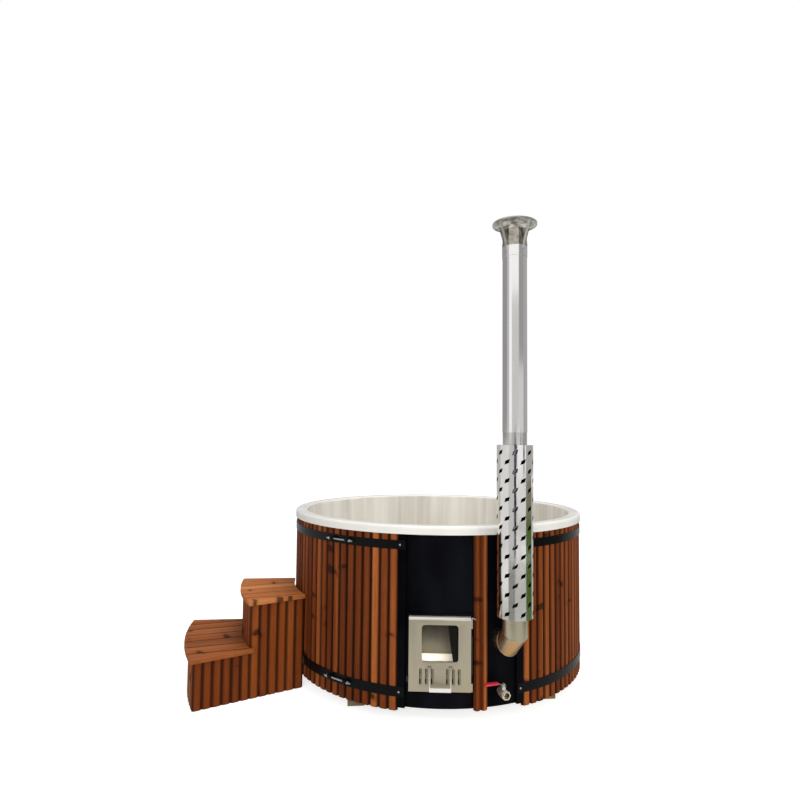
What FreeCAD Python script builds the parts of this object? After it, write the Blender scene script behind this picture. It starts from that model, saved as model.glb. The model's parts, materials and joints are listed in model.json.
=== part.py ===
import FreeCAD, Part
import math
import os

# Wood-fired round hot tub with its fire door, chimney, drain valve and free-standing steps.
# Millimetres and degrees. +Z is up, the origin is on the ground under the middle of the tub.
# Angles about +Z start at the fire door, which faces -Y, and grow towards +X.

# Fits
seat_gap = 0.3
running_gap = 0.05

# Moulded white shell
rim_radius = 900.0
rim_top = 966.0
rim_width = 70.0
rim_lip = 43.0
rim_round = 15.0
shell_wall = 6.0
bowl_taper = 15.0
bowl_round = 40.0
seat_top = 545.0
seat_depth = 315.0
riser_taper = 30.0
floor_top = 178.0

# Base
beam_height = 57.0
beam_width = 90.0
beam_length = 1280.0
beam_spacing = 517.0
deck_wall = 18.0
deck_front = 700.0
bearer_margin = 45.0
bearer_count = 5
bearer_width = 45.0
bearer_spacing = 175.0

# Hidden frame
ring_height = 30.0
ring_width = 26.0
upright_width = 45.0
upright_count = 10

# Ribbed cladding boards
board_count = 33
ribs_per_board = 3
board_thickness = 20.0
board_gap = 0.6
groove_depth = 9.0
groove_width = 14.0
groove_floor = 7.0
lip_gap = 1.0
cover_in_lip = 10.0

# Black front section with its wooden post
front_left_run = 212.0
front_right_run = 442.6
strip_width = 39.0
post_run = 170.3
post_width = 68.5
post_proud = 6.0
panel_wall = 3.0
panel_lift = 18.0
post_lift = 12.0

# Hoops and their tensioners
hoop_wall = 2.5
upper_hoop_low = 847.0
upper_hoop_high = 891.0
lower_hoop_low = 127.0
lower_hoop_high = 176.0
tensioner_angle = -35.4
lug_reach = 54.0
lug_width = 26.0
lug_height = 22.0
rod_radius = 4.0
rod_stand_off = 12.0
rod_tail = 14.0
nut_flats = 14.0
nut_length = 11.0
bolt_radius = 4.0
bolt_head_radius = 5.5
bolt_head_height = 5.0
left_bolt_shift = 10.0

# Fire door
door_left = -153.5
door_right = 151.3
door_low = 170.0
door_high = 527.0
door_proud = 14.0
door_depth = 23.0
door_wall = 2.0
door_roll = 15.0
window_half = 90.0
window_low = 312.0
window_high = 489.0
window_round = 17.0
glass_wall = 4.0
glass_lap = 7.0
retainer_wall = 2.0
retainer_rim = 6.0
slot_width = 14.0
slot_pitch = 28.6
slot_inner = 37.0
slot_low = 204.0
slot_high = 281.0
slots_per_side = 3

# Air slider behind the slots, with its pull handle
slider_wall = 2.0
slider_margin = 12.0
slider_low = 197.0
slider_high = 296.0
slider_rest = -7.0
guide_lip = 5.0
guide_bar = 4.5
handle_wall = 3.0
handle_tab_low = 284.5
handle_tab_high = 293.0
handle_reach = 40.0
handle_low = 184.0
handle_grip = 19.0
handle_travel = 15.0
handle_shoulder = 4.0
handle_clear = 1.0

# Hinge and catch
pin_radius = 3.0
pin_bend = 4.5
pin_bend_turn = 120.0
pin_tail = 16.0
pin_clear = 2.0
pin_tail_lean = 25.0
knuckle_wall = 1.6
hinge_inset = 10.0
top_knuckle = 40.0
knuckle_drop = 15.0
lug_knuckle = 38.0
catch_offset = 6.5
catch_height = 231.0
catch_length = 26.0
catch_width = 8.0
catch_wall = 3.0
catch_bolt_radius = 2.5
catch_clear = 1.0
catch_head = 3.0

# Door frame, firebox and water jacket
frame_left = -166.0
frame_right = 162.0
frame_margin = 10.0
frame_wall = 4.0
frame_depth = 40.0
door_stand_off = 2.0
throat_half = 140.0
throat_low = 182.0
throat_high = 515.0
firebox_wall = 3.0
firebox_depth = 322.0
jacket_wall = 4.0
water_gap = 15.0
hearth_wall = 25.0
hearth_top = 228.0
hearth_gap = 40.0
rail_width = 15.0
rail_height = 8.0
baffle_wall = 4.0
baffle_set_back = 105.0
baffle_low_x = 76.0
baffle_high_x = 41.0
baffle_high = 470.0
flow_pipe_radius = 22.0
flow_pipe_wall = 3.0
flow_pipe_flange = 34.0
return_height = 240.0
flow_height = 470.0

# Flue, chimney, heat guard and rain cap
flue_run = 325.7
flue_height = 405.0
flue_radius = 58.5
sheet_wall = 1.5
socket_gap = 0.2
smoke_box_half = 80.0
smoke_box_clear = 86.7
smoke_box_depth = 150.0
smoke_box_height = 150.0
smoke_skin = 3.0
duct_margin = 15.0
spigot_reach = 29.0
collar_width = 15.0
collar_wall = 3.0
elbow_turn = 65.0
elbow_top = 552.0
socket_depth = 50.0
chimney_joint = 1433.0
chimney_lap = 40.0
chimney_top = 2440.0
guard_radius = 87.5
guard_clear = 17.5
guard_low = 550.0
guard_high = 1373.0
guard_columns = 14
guard_hole_pitch = 89.3
guard_first_hole = 36.0
guard_hole_turn = -3.5
guard_hole_run = 24.0
guard_hole_rise = 9.0
guard_hole_lean = 5.0
guard_hole_height = 19.5
spacer_height = 20.0
spacer_inset = 13.0
spacer_count = 3
cap_collar_low = 2303.0
cap_collar_high = 2372.0
cap_radius = 110.5
cap_edge = 2476.0
cap_rise = 35.0
cap_hem = 6.0
cap_leg_count = 4
cap_leg_width = 14.0
cap_leg_wall = 2.0
cap_leg_angle = 16.0

# Drain
drain_run = 314.6
drain_inset = 90.0
drain_height = 150.0
drain_pipe_radius = 16.7
drain_pipe_bore = 13.5
sump_radius = 45.0
sump_wall = 8.0
grille_radius = 52.0
grille_wall = 4.0
valve_stand_off = 8.7
valve_length = 64.0
valve_middle = 30.0
valve_barrel = 22.0
valve_flats = 38.0
valve_hex = 18.0
valve_socket = 10.0
valve_bore = 12.5
outlet_bore = 15.15
outlet_depth = 16.0
ball_radius = 17.0
stem_radius = 5.0
bonnet_radius = 11.0
bonnet_top = 184.0
lever_low = 190.0
lever_wall = 3.0
lever_width = 17.0
lever_length = 100.0
lever_crank = 20.0
lever_lift = 11.0
sleeve_length = 70.0
sleeve_wall = 2.5
stem_nut_flats = 14.0
stem_nut_height = 6.0

# Free-standing steps, a sector round the tub
step_near = -55.9
step_far = -82.6
step_clear = 5.2
upper_going = 302.0
lower_going = 291.0
step_upper_nose = 16.0
step_lower_nose = 22.0
step_tread_return = 17.0
step_side_inset = 25.0
lower_tread_top = 271.0
upper_tread_top = 520.0
tread_wall = 24.0
tread_gap = 12.0
lower_tread_boards = 7
upper_tread_boards = 6
step_board = 18.0
step_rib = 50.0
step_groove = 6.0
step_post = 40.0
ledger_height = 30.0

# Sizes worked out from the driving ones
bowl_radius = rim_radius - rim_width
seat_outer = bowl_radius - bowl_taper
seat_inner = seat_outer - seat_depth
floor_radius = seat_inner - riser_taper
drain_radius = floor_radius - drain_inset
bearer_reach = floor_radius - bearer_margin
cladding_radius = rim_radius - shell_wall - lip_gap
cladding_inner = cladding_radius - board_thickness
cladding_top = rim_top - rim_lip + cover_in_lip
frame_outer = cladding_inner - seat_gap
frame_inner = frame_outer - ring_width
deck_top = beam_height + deck_wall
panel_radius = cladding_inner + panel_wall
cover_inner = panel_radius + seat_gap
post_radius = cladding_radius + post_proud
front_left = -math.degrees(front_left_run / cladding_radius)
front_right = math.degrees(front_right_run / cladding_radius)
post_left = math.degrees(post_run / cladding_radius)
flue_angle = math.degrees(flue_run / cladding_radius)
drain_angle = math.degrees(drain_run / cladding_radius)
strip_angle = math.degrees(strip_width / cladding_radius)
post_angle = math.degrees(post_width / cladding_radius)
post_right = post_left + post_angle
post_middle = post_left + post_angle / 2
panel_low = beam_height + panel_lift
front_middle = (front_left + front_right) / 2
hoop_inner = cladding_radius + seat_gap
hoop_outer = hoop_inner + hoop_wall
door_face = cladding_radius + door_proud
door_back = door_face - door_depth
frame_front = door_back - door_stand_off
firebox_back = frame_front - firebox_depth
pin_y = -(door_face - hinge_inset)
knuckle_radius = pin_radius + knuckle_wall
pin_x = door_right + knuckle_radius + seat_gap
catch_x = door_left - catch_offset
slot_places = [side * (slot_inner + i * slot_pitch) for side in (-1, 1) for i in range(slots_per_side)]
slot_span = slot_inner + (slots_per_side - 1) * slot_pitch + slot_width / 2
handle_half = slot_inner + slot_pitch / 2
sheet_inside = door_face - door_wall
slider_front = sheet_inside - seat_gap
slider_back = slider_front - slider_wall
firebox_half = throat_half + firebox_wall
jacket_half = firebox_half + water_gap + jacket_wall
jacket_front = frame_front - frame_depth - seat_gap
jacket_back = firebox_back - firebox_wall - water_gap - jacket_wall
jacket_low = throat_low - firebox_wall - water_gap - jacket_wall
jacket_high = throat_high + firebox_wall + water_gap
smoke_box_outer = frame_inner - smoke_box_clear
smoke_box_inner = smoke_box_outer - smoke_box_depth
pipe_radius = flue_radius + socket_gap + sheet_wall
chimney_radius = rim_radius + guard_clear + guard_radius
valve_start = cover_inner + valve_stand_off
valve_centre = valve_start + valve_middle
valve_end = valve_start + valve_length
lower_pipe_radius = flue_radius
step_middle = (step_near + step_far) / 2
step_half = (step_near - step_far) / 2
step_inner = hoop_outer + step_clear
step_upper_riser = step_inner + upper_going
step_lower_riser = step_upper_riser + lower_going
step_inset_angle = math.degrees(step_side_inset / step_upper_riser)
step_near_side = step_near - step_inset_angle
step_far_side = step_far + step_inset_angle

V = FreeCAD.Vector
ORIGIN = V(0, 0, 0)
UP = V(0, 0, 1)


def polar(radius, angle, height=0.0):
    turn = math.radians(angle)
    return V(radius * math.sin(turn), -radius * math.cos(turn), height)


def turned(shape, angle):
    copy = shape.copy()
    copy.rotate(ORIGIN, UP, angle)
    return copy


def moved(shape, x, y, z):
    copy = shape.copy()
    copy.translate(V(x, y, z))
    return copy


def block(low_x, high_x, low_y, high_y, low_z, high_z):
    return Part.makeBox(high_x - low_x, high_y - low_y, high_z - low_z, V(low_x, low_y, low_z))


def rod(radius, start, end):
    along = end - start
    return Part.makeCylinder(radius, along.Length, start, along)


def pipe(inner, outer, start, end):
    return rod(outer, start, end).cut(rod(inner, start, end))


def hexagon(flats, start, end):
    along = end - start
    corner = flats / math.sqrt(3)
    points = [V(corner * math.cos(k * math.pi / 3), corner * math.sin(k * math.pi / 3), 0) for k in range(7)]
    prism = Part.Face(Part.makePolygon(points)).extrude(V(0, 0, along.Length))
    prism.Placement = FreeCAD.Placement(start, FreeCAD.Rotation(UP, along))
    return prism


def slab(points, along):
    return Part.Face(Part.makePolygon(points + points[:1])).extrude(along)


def arc(first, middle, last):
    return Part.Arc(first, middle, last).toShape()


def line(first, last):
    return Part.LineSegment(first, last).toShape()


def sector(inner, outer, start, end, low, high):
    middle = (start + end) / 2
    edges = [
        arc(polar(outer, start, low), polar(outer, middle, low), polar(outer, end, low)),
        line(polar(outer, end, low), polar(inner, end, low)),
        arc(polar(inner, end, low), polar(inner, middle, low), polar(inner, start, low)),
        line(polar(inner, start, low), polar(outer, start, low)),
    ]
    return Part.Face(Part.Wire(edges)).extrude(V(0, 0, high - low))


def ring(inner, outer, low, high):
    return pipe(inner, outer, V(0, 0, low), V(0, 0, high))


def rounded_path(points, radii):
    """Edges of an open path through the points, with each inner corner rounded."""
    edges = []
    last = points[0]
    for before, corner, after, radius in zip(points, points[1:], points[2:], radii):
        back = (before - corner).normalize()
        ahead = (after - corner).normalize()
        half = back.getAngle(ahead) / 2
        reach = radius / math.tan(half)
        inward = (back + ahead).normalize()
        first = corner + back * reach
        end = corner + ahead * reach
        crown = corner + inward * (radius / math.sin(half) - radius)
        edges.append(line(last, first))
        edges.append(arc(first, crown, end))
        last = end
    edges.append(line(last, points[-1]))
    return edges


def shifted_path(points, distance):
    """The same path moved sideways, to the right of its direction in the XZ plane."""
    aheads = [(b - a).normalize() for a, b in zip(points, points[1:])]
    rights = [V(a.z, 0, -a.x) for a in aheads]
    moved_points = [points[0] + rights[0] * distance]
    for corner, one, two in zip(points[1:], rights, rights[1:]):
        moved_points.append(corner + (one + two) * (distance / (1 + one.dot(two))))
    moved_points.append(points[-1] + rights[-1] * distance)
    return moved_points


def spun(edges):
    face = Part.Face(Part.Wire(Part.__sortEdges__(edges)))
    return face.revolve(ORIGIN, UP, 360)


def spun_outline(points):
    corners = [V(r, 0, z) for r, z in points]
    return Part.Face(Part.makePolygon(corners + corners[:1])).revolve(ORIGIN, UP, 360)


def ribbed_sector(inner, outer, start, end, ribs, depth, low, high):
    """A curved board with upright ribs on its outer face and half a groove at each edge."""
    pitch = (end - start) / ribs
    top_half = math.degrees(groove_width / outer) / 2
    floor_half = math.degrees(groove_floor / outer) / 2
    points = [polar(inner, start, low), polar(outer - depth, start, low)]
    for k in range(ribs):
        left = start + k * pitch
        right = left + pitch
        points.append(polar(outer - depth, left + floor_half, low))
        points.append(polar(outer, left + top_half, low))
        points.append(polar(outer, right - top_half, low))
        points.append(polar(outer - depth, right - floor_half, low))
    points.append(polar(outer - depth, end, low))
    points.append(polar(inner, end, low))
    edges = [line(a, b) for a, b in zip(points, points[1:])]
    edges.append(arc(points[-1], polar(inner, (start + end) / 2, low), points[0]))
    return Part.Face(Part.Wire(edges)).extrude(V(0, 0, high - low))


def ribbed_panel(start, end, ribs, thickness, depth, side, low, high):
    """A flat board along -Y whose ribbed face looks towards side (+1 is +X), with its face at x = 0."""
    pitch = (end - start) / ribs
    inside = -side * thickness
    floor_x = -side * depth
    points = [V(inside, -start, low), V(floor_x, -start, low)]
    for k in range(ribs):
        left = start + k * pitch
        right = left + pitch
        points.append(V(floor_x, -(left + groove_floor / 2), low))
        points.append(V(0, -(left + groove_width / 2), low))
        points.append(V(0, -(right - groove_width / 2), low))
        points.append(V(floor_x, -(right - groove_floor / 2), low))
    points.append(V(floor_x, -end, low))
    points.append(V(inside, -end, low))
    return slab(points, V(0, 0, high - low))


def window(half, low, high, radius, front, back):
    """A rounded rectangle through the door sheet, along Y."""
    tall = block(-half + radius, half - radius, -front, -back, low, high)
    wide = block(-half, half, -front, -back, low + radius, high - radius)
    shape = tall.fuse(wide)
    for x in (-half + radius, half - radius):
        for z in (low + radius, high - radius):
            shape = shape.fuse(rod(radius, V(x, -front, z), V(x, -back, z)))
    return shape.removeSplitter()


def air_slot(x, front, back):
    half = slot_width / 2
    body = block(x - half, x + half, -front, -back, slot_low + half, slot_high - half)
    for z in (slot_low + half, slot_high - half):
        body = body.fuse(rod(half, V(x, -front, z), V(x, -back, z)))
    return body.removeSplitter()


def mitred(points, radius):
    """A round solid along straight runs whose joints are cut on their mitre planes."""
    aheads = [(b - a).normalize() for a, b in zip(points, points[1:])]
    normals = [aheads[0]]
    normals += [(a + b).normalize() for a, b in zip(aheads, aheads[1:])]
    normals.append(aheads[-1])
    reach = 3 * radius
    body = None
    for k, ahead in enumerate(aheads):
        run = rod(radius, points[k] - ahead * reach, points[k + 1] + ahead * reach)
        run = run.cut(half_space(points[k], -normals[k], reach * 4))
        run = run.cut(half_space(points[k + 1], normals[k + 1], reach * 4))
        body = run if body is None else body.fuse(run)
    return body


def half_space(point, outward, size):
    cube = Part.makeBox(2 * size, 2 * size, size, V(-size, -size, 0))
    cube.Placement = FreeCAD.Placement(point, FreeCAD.Rotation(UP, outward))
    return cube


def save(name, *solids):
    shape = solids[0] if len(solids) == 1 else Part.makeCompound(list(solids))
    shape.exportStep("parts/" + name + ".step")


def at_chimney(shape):
    """Moves a shape built round the Z axis to the chimney, its -Y side facing away from the tub."""
    return turned(moved(shape, 0, -chimney_radius, 0), flue_angle)


os.makedirs("parts", exist_ok=True)

# Base beams, deck and the bearers under the shell's floor
beams = []
for row in (-1, 0, 1):
    middle = row * beam_spacing
    half = beam_width / 2
    beam = block(middle - half, middle + half, -beam_length / 2, beam_length / 2, 0, beam_height)
    beams.append(turned(beam, front_middle))
save("base_beams", *beams)
deck = rod(frame_outer, V(0, 0, beam_height), V(0, 0, deck_top))
deck = deck.cut(block(-rim_radius, rim_radius, -rim_radius, -deck_front, beam_height, deck_top))
save("base_deck", deck)

bearer_disc = rod(bearer_reach, V(0, 0, deck_top), V(0, 0, floor_top - shell_wall))
drain_space = block(-sump_radius - sump_wall, sump_radius + sump_wall, -bearer_reach - 1,
                    -drain_radius + sump_radius + sump_wall, deck_top, floor_top)
bearer_disc = bearer_disc.cut(turned(drain_space, drain_angle))
bearers = []
for k in range(bearer_count):
    middle = (k - (bearer_count - 1) / 2) * bearer_spacing
    plank = block(-bearer_reach, bearer_reach, middle - bearer_width / 2, middle + bearer_width / 2,
                  deck_top, floor_top)
    bearers += bearer_disc.common(turned(plank, front_middle)).Solids
save("floor_bearers", *bearers)

# Hidden frame: two rings and the uprights between them
lower_ring_top = deck_top + ring_height
upper_ring_top = rim_top - shell_wall
upper_ring_low = upper_ring_top - ring_height
save("lower_ring", ring(frame_inner, frame_outer, deck_top, lower_ring_top))
save("upper_ring", ring(frame_inner, frame_outer, upper_ring_low, upper_ring_top))

flue_half_angle = math.degrees(math.asin((pipe_radius + collar_width) / frame_inner))
upright_half_angle = math.degrees(upright_width / 2 / frame_inner)
left_upright = front_left
right_upright = max(front_right - strip_angle / 2, flue_angle + flue_half_angle + upright_half_angle)
sweep = 360 - (right_upright - left_upright)
upright_angles = [left_upright, post_middle, right_upright]
upright_angles += [right_upright + sweep * (k + 1) / (upright_count + 1) for k in range(upright_count)]
uprights = []
for angle in upright_angles:
    start = angle - upright_half_angle
    end = angle + upright_half_angle
    uprights.append(sector(frame_inner, frame_outer, start, end, lower_ring_top, upper_ring_low))
save("uprights", *uprights)

# Moulded shell: floor, riser, seat, wall and rolled rim in one skin
wet = [
    V(0, 0, floor_top),
    V(floor_radius, 0, floor_top),
    V(seat_inner, 0, seat_top),
    V(seat_outer, 0, seat_top),
    V(bowl_radius, 0, rim_top),
    V(rim_radius, 0, rim_top),
    V(rim_radius, 0, rim_top - rim_lip),
]
dry = shifted_path(wet, shell_wall)
wet_rounds = [bowl_round, bowl_round, bowl_round, rim_round, rim_round]
dry_rounds = [
    bowl_round + shell_wall,
    bowl_round - shell_wall,
    bowl_round + shell_wall,
    rim_round - shell_wall,
    rim_round - shell_wall,
]
shell_edges = rounded_path(wet, wet_rounds) + rounded_path(dry, dry_rounds)
shell_edges += [line(wet[0], dry[0]), line(wet[-1], dry[-1])]
shell = spun(shell_edges)
sump_bore = sump_radius - sump_wall
drain_hole = rod(sump_bore, V(0, -drain_radius, floor_top - 2 * shell_wall),
                 V(0, -drain_radius, floor_top + 1))
shell = shell.cut(turned(drain_hole, drain_angle))
for height in (return_height, flow_height):
    hole = rod(flow_pipe_radius + seat_gap, V(0, -jacket_back, height), V(0, -floor_radius / 2, height))
    shell = shell.cut(hole)
save("tub_liner", shell)

# Drain: strainer, sump, pipe and quarter-turn valve, built facing -Y and then turned
strainer = rod(grille_radius, V(0, -drain_radius, floor_top), V(0, -drain_radius, floor_top + grille_wall))
strainer_hole = grille_radius / 8
for k in range(6):
    spot = V(0, -drain_radius, floor_top) + polar(grille_radius * 0.42, 60 * k)
    strainer = strainer.cut(rod(strainer_hole, spot, spot + V(0, 0, grille_wall)))
save("drain_grille", turned(strainer, drain_angle))

sump_low = drain_height - drain_pipe_radius - sump_wall
sump = rod(sump_radius, V(0, -drain_radius, sump_low), V(0, -drain_radius, floor_top - shell_wall))
sump = sump.cut(rod(sump_bore, V(0, -drain_radius, sump_low + sump_wall), V(0, -drain_radius, floor_top)))
pipe_start = V(0, -drain_radius - sump_bore - 1, drain_height)
pipe_end = V(0, -valve_start - valve_socket, drain_height)
sump = sump.cut(rod(drain_pipe_radius, pipe_start + V(0, sump_bore / 2, 0), pipe_end))
save("drain_sump", turned(sump, drain_angle))
save("drain_pipe", turned(pipe(drain_pipe_bore, drain_pipe_radius, pipe_start, pipe_end), drain_angle))


def on_valve(distance):
    return V(0, -distance, drain_height)


stem_top = lever_low + lever_wall + stem_nut_height
body = hexagon(valve_flats, on_valve(valve_start), on_valve(valve_start + valve_hex))
body = body.fuse(hexagon(valve_flats, on_valve(valve_end - valve_hex), on_valve(valve_end)))
body = body.fuse(rod(valve_barrel, on_valve(valve_start + valve_hex / 2),
                     on_valve(valve_end - valve_hex / 2)))
body = body.fuse(rod(bonnet_radius, on_valve(valve_centre), V(0, -valve_centre, bonnet_top)))
body = body.cut(rod(valve_bore, on_valve(valve_start), on_valve(valve_end)))
body = body.cut(rod(drain_pipe_radius + running_gap, on_valve(valve_start),
                    on_valve(valve_start + valve_socket)))
body = body.cut(rod(outlet_bore, on_valve(valve_end - outlet_depth), on_valve(valve_end)))
body = body.cut(Part.makeSphere(ball_radius + seat_gap, on_valve(valve_centre)))
body = body.cut(rod(stem_radius + running_gap, on_valve(valve_centre), V(0, -valve_centre, bonnet_top + 1)))
save("valve_body", turned(body, drain_angle))

ball = Part.makeSphere(ball_radius, on_valve(valve_centre))
cross_bore = V(ball_radius + 1, -valve_centre, drain_height)
ball = ball.cut(rod(valve_bore * 0.95, V(-ball_radius - 1, -valve_centre, drain_height), cross_bore))
stem_base = V(0, -valve_centre, drain_height + valve_bore * 0.95 + 1)
ball = ball.fuse(rod(stem_radius, stem_base, V(0, -valve_centre, stem_top)))
save("valve_stem", turned(ball, drain_angle))

lever_half = lever_width / 2
lever_end = -lever_length
crank_start = -lever_half - 2
crank_end = crank_start - lever_crank
lever_top = lever_low + lever_wall
strip = [
    V(lever_half, 0, lever_low),
    V(crank_start, 0, lever_low),
    V(crank_end, 0, lever_low + lever_lift),
    V(lever_end, 0, lever_low + lever_lift),
    V(lever_end, 0, lever_top + lever_lift),
    V(crank_end, 0, lever_top + lever_lift),
    V(crank_start, 0, lever_top),
    V(lever_half, 0, lever_top),
]
lever = moved(slab(strip, V(0, lever_width, 0)), 0, -valve_centre - lever_half, 0)
lever = lever.cut(rod(stem_radius, V(0, -valve_centre, lever_low - 1), V(0, -valve_centre, lever_top + 1)))
save("valve_lever", turned(lever, drain_angle))

sleeve_start = lever_end + sleeve_length
sleeve = block(lever_end - sleeve_wall, sleeve_start, -valve_centre - lever_half - sleeve_wall,
               -valve_centre + lever_half + sleeve_wall, lever_low + lever_lift - sleeve_wall,
               lever_top + lever_lift + sleeve_wall)
upright_edges = [e for e in sleeve.Edges if abs(e.tangentAt(e.FirstParameter).z) > 0.9]
sleeve = sleeve.makeFillet(lever_half * 0.8, upright_edges)
sleeve = sleeve.cut(block(lever_end, sleeve_start, -valve_centre - lever_half, -valve_centre + lever_half,
                          lever_low + lever_lift, lever_top + lever_lift))
save("lever_sleeve", turned(sleeve, drain_angle))

stem_nut = hexagon(stem_nut_flats, V(0, -valve_centre, lever_top), V(0, -valve_centre, stem_top))
stem_nut = stem_nut.cut(rod(stem_radius, V(0, -valve_centre, lever_top), V(0, -valve_centre, stem_top)))
save("stem_nut", turned(stem_nut, drain_angle))

# Cladding boards, all alike, round the tub between the two edge strips
clad_sweep = 360 - (front_right - front_left)
board_pitch = clad_sweep / board_count
board_trim = math.degrees(board_gap / cladding_radius) / 2
one_board = ribbed_sector(cladding_inner, cladding_radius, board_trim, board_pitch - board_trim,
                          ribs_per_board, groove_depth, beam_height, cladding_top)
boards = [turned(one_board, front_right + k * board_pitch) for k in range(board_count)]
save("cladding_boards", *boards)

# Black front section: curved sheets behind, strips and the wooden post in front
seam = post_middle
seam_half = math.degrees(seat_gap / panel_radius)
left_panel = sector(cladding_inner, panel_radius, front_left, seam - seam_half, panel_low, cladding_top)
opening = block(frame_left - seat_gap, frame_right + seat_gap, -rim_radius, -frame_inner * 0.9,
                door_low - frame_margin - seat_gap, door_high + frame_margin + seat_gap)
save("front_panel_left", left_panel.cut(opening))

right_panel = sector(cladding_inner, panel_radius, seam + seam_half, front_right, panel_low, cladding_top)
flue_cut = rod(flue_radius + seat_gap, V(0, -frame_inner, flue_height), V(0, -rim_radius, flue_height))
drain_cut = rod(drain_pipe_radius + seat_gap, V(0, -frame_inner, drain_height),
                V(0, -rim_radius, drain_height))
right_panel = right_panel.cut(turned(flue_cut, flue_angle)).cut(turned(drain_cut, drain_angle))
save("front_panel_right", right_panel)

clad_trim = math.degrees(board_gap / cladding_radius)
post_low = beam_height + post_lift
post_top = rim_top - rim_lip - seat_gap
save("front_post", ribbed_sector(cover_inner, post_radius, post_left, post_right, 2, groove_depth,
                                 post_low, post_top))

strip_middles = (front_left + strip_angle / 2, front_right - strip_angle / 2)
bolt_angles = (strip_middles[0] - math.degrees(left_bolt_shift / cladding_radius), strip_middles[1])
hoop_levels = ((lower_hoop_low, lower_hoop_high), (upper_hoop_low, upper_hoop_high))


def bolt_hole(angle, height):
    hole = rod(bolt_radius + running_gap, V(0, -cover_inner, height), V(0, -rim_radius - 10, height))
    return turned(hole, angle)


strips = []
for middle, bolt_angle in zip(strip_middles, bolt_angles):
    half = strip_angle / 2 - clad_trim / 2
    strip_bar = sector(cover_inner, cladding_radius, middle - half, middle + half, panel_low, cladding_top)
    for low, high in hoop_levels:
        strip_bar = strip_bar.cut(bolt_hole(bolt_angle, (low + high) / 2))
    strips.append(strip_bar)
save("edge_strips", *strips)

# Hoops in two bands each, drawn together by a threaded rod between two lugs
left_edge = front_left + strip_angle
right_edge = front_right - strip_angle
lug_angle = math.degrees(lug_reach / hoop_outer)
lug_half_angle = math.degrees(lug_width / 2 / hoop_outer)
band_split = tensioner_angle - lug_angle + lug_half_angle + 0.3
lugs = []
rods = []
nuts = []
bolts = []
for name, (low, high) in zip(("hoop_lower", "hoop_upper"), hoop_levels):
    height = (low + high) / 2
    long_band = sector(hoop_inner, hoop_outer, right_edge + 0.2, 360 + band_split - 0.1, low, high)
    short_band = sector(hoop_inner, hoop_outer, band_split + 0.1, left_edge - 0.2, low, high)
    long_band = long_band.cut(bolt_hole(bolt_angles[1], height))
    short_band = short_band.cut(bolt_hole(bolt_angles[0], height))
    save(name, long_band, short_band)
    rod_y = -(hoop_outer + rod_stand_off)
    rod_end = lug_reach + lug_width / 2 + nut_length + rod_tail
    threaded = rod(rod_radius, V(-rod_end, rod_y, height), V(rod_end, rod_y, height))
    rods.append(turned(threaded, tensioner_angle))
    for side in (-1, 1):
        middle = side * lug_reach
        lug = block(middle - lug_width / 2, middle + lug_width / 2, rod_y - rod_radius * 2,
                    -hoop_outer * 0.98, height - lug_height / 2, height + lug_height / 2)
        lug = lug.cut(rod(hoop_outer + running_gap, V(0, 0, low), V(0, 0, high)))
        lug = lug.cut(rod(rod_radius + running_gap, V(-rod_end, rod_y, height), V(rod_end, rod_y, height)))
        lugs.append(turned(lug, tensioner_angle))
        inner_face = middle + side * lug_width / 2
        nut = hexagon(nut_flats, V(inner_face, rod_y, height),
                      V(inner_face + side * nut_length, rod_y, height))
        nut = nut.cut(rod(rod_radius, V(-rod_end, rod_y, height), V(rod_end, rod_y, height)))
        nuts.append(turned(nut, tensioner_angle))
    for bolt_angle in bolt_angles:
        head_start = V(0, -hoop_outer, height)
        head = rod(bolt_head_radius, head_start, head_start - V(0, bolt_head_height, 0))
        head = head.makeFillet(bolt_head_height * 0.6, [head.Edges[0]])
        shank = rod(bolt_radius, V(0, -cover_inner, height), head_start)
        bolts.append(turned(head.fuse(shank), bolt_angle))
save("tensioner_lugs", *lugs)
save("tensioner_rods", *rods)
save("tensioner_nuts", *nuts)
save("hoop_bolts", *bolts)

# Firebox inside its water jacket, joined at the front by the door frame
frame_low = door_low - frame_margin
frame_high = door_high + frame_margin
frame_tray = block(frame_left, frame_right, -frame_front, -frame_front + frame_depth, frame_low, frame_high)
frame_tray = frame_tray.cut(block(frame_left + frame_wall, frame_right - frame_wall,
                                  -frame_front + frame_wall, -frame_front + frame_depth,
                                  frame_low + frame_wall, frame_high - frame_wall))
frame_tray = frame_tray.cut(block(-throat_half, throat_half, -frame_front, -frame_front + frame_wall,
                                  throat_low, throat_high))
catch_hole = rod(catch_bolt_radius, V(catch_x, -frame_front, catch_height),
                 V(catch_x, -frame_front + frame_wall, catch_height))
frame_tray = frame_tray.cut(catch_hole)
save("door_frame", frame_tray)

firebox = block(-firebox_half, firebox_half, -frame_front + frame_wall, -firebox_back + firebox_wall,
                throat_low - firebox_wall, throat_high + firebox_wall)
firebox = firebox.cut(block(-throat_half, throat_half, -frame_front + frame_wall, -firebox_back,
                            throat_low, throat_high))
hearth_low = hearth_top - hearth_wall
hearth_front = -frame_front + frame_wall + hearth_gap
for side in (-1, 1):
    edges = sorted((side * throat_half, side * (throat_half - rail_width)))
    firebox = firebox.fuse(block(edges[0], edges[1], hearth_front, -firebox_back,
                                 hearth_low - rail_height, hearth_low))
throat_front = -smoke_box_outer + smoke_box_half
throat_back = -smoke_box_inner
duct_low = flue_height - smoke_box_height / 2 + duct_margin
duct_high = flue_height + smoke_box_height / 2 - duct_margin
duct_hole = block(throat_half - 1, jacket_half + 1, throat_front, throat_back, duct_low, duct_high)
save("firebox", firebox.cut(duct_hole))

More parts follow.
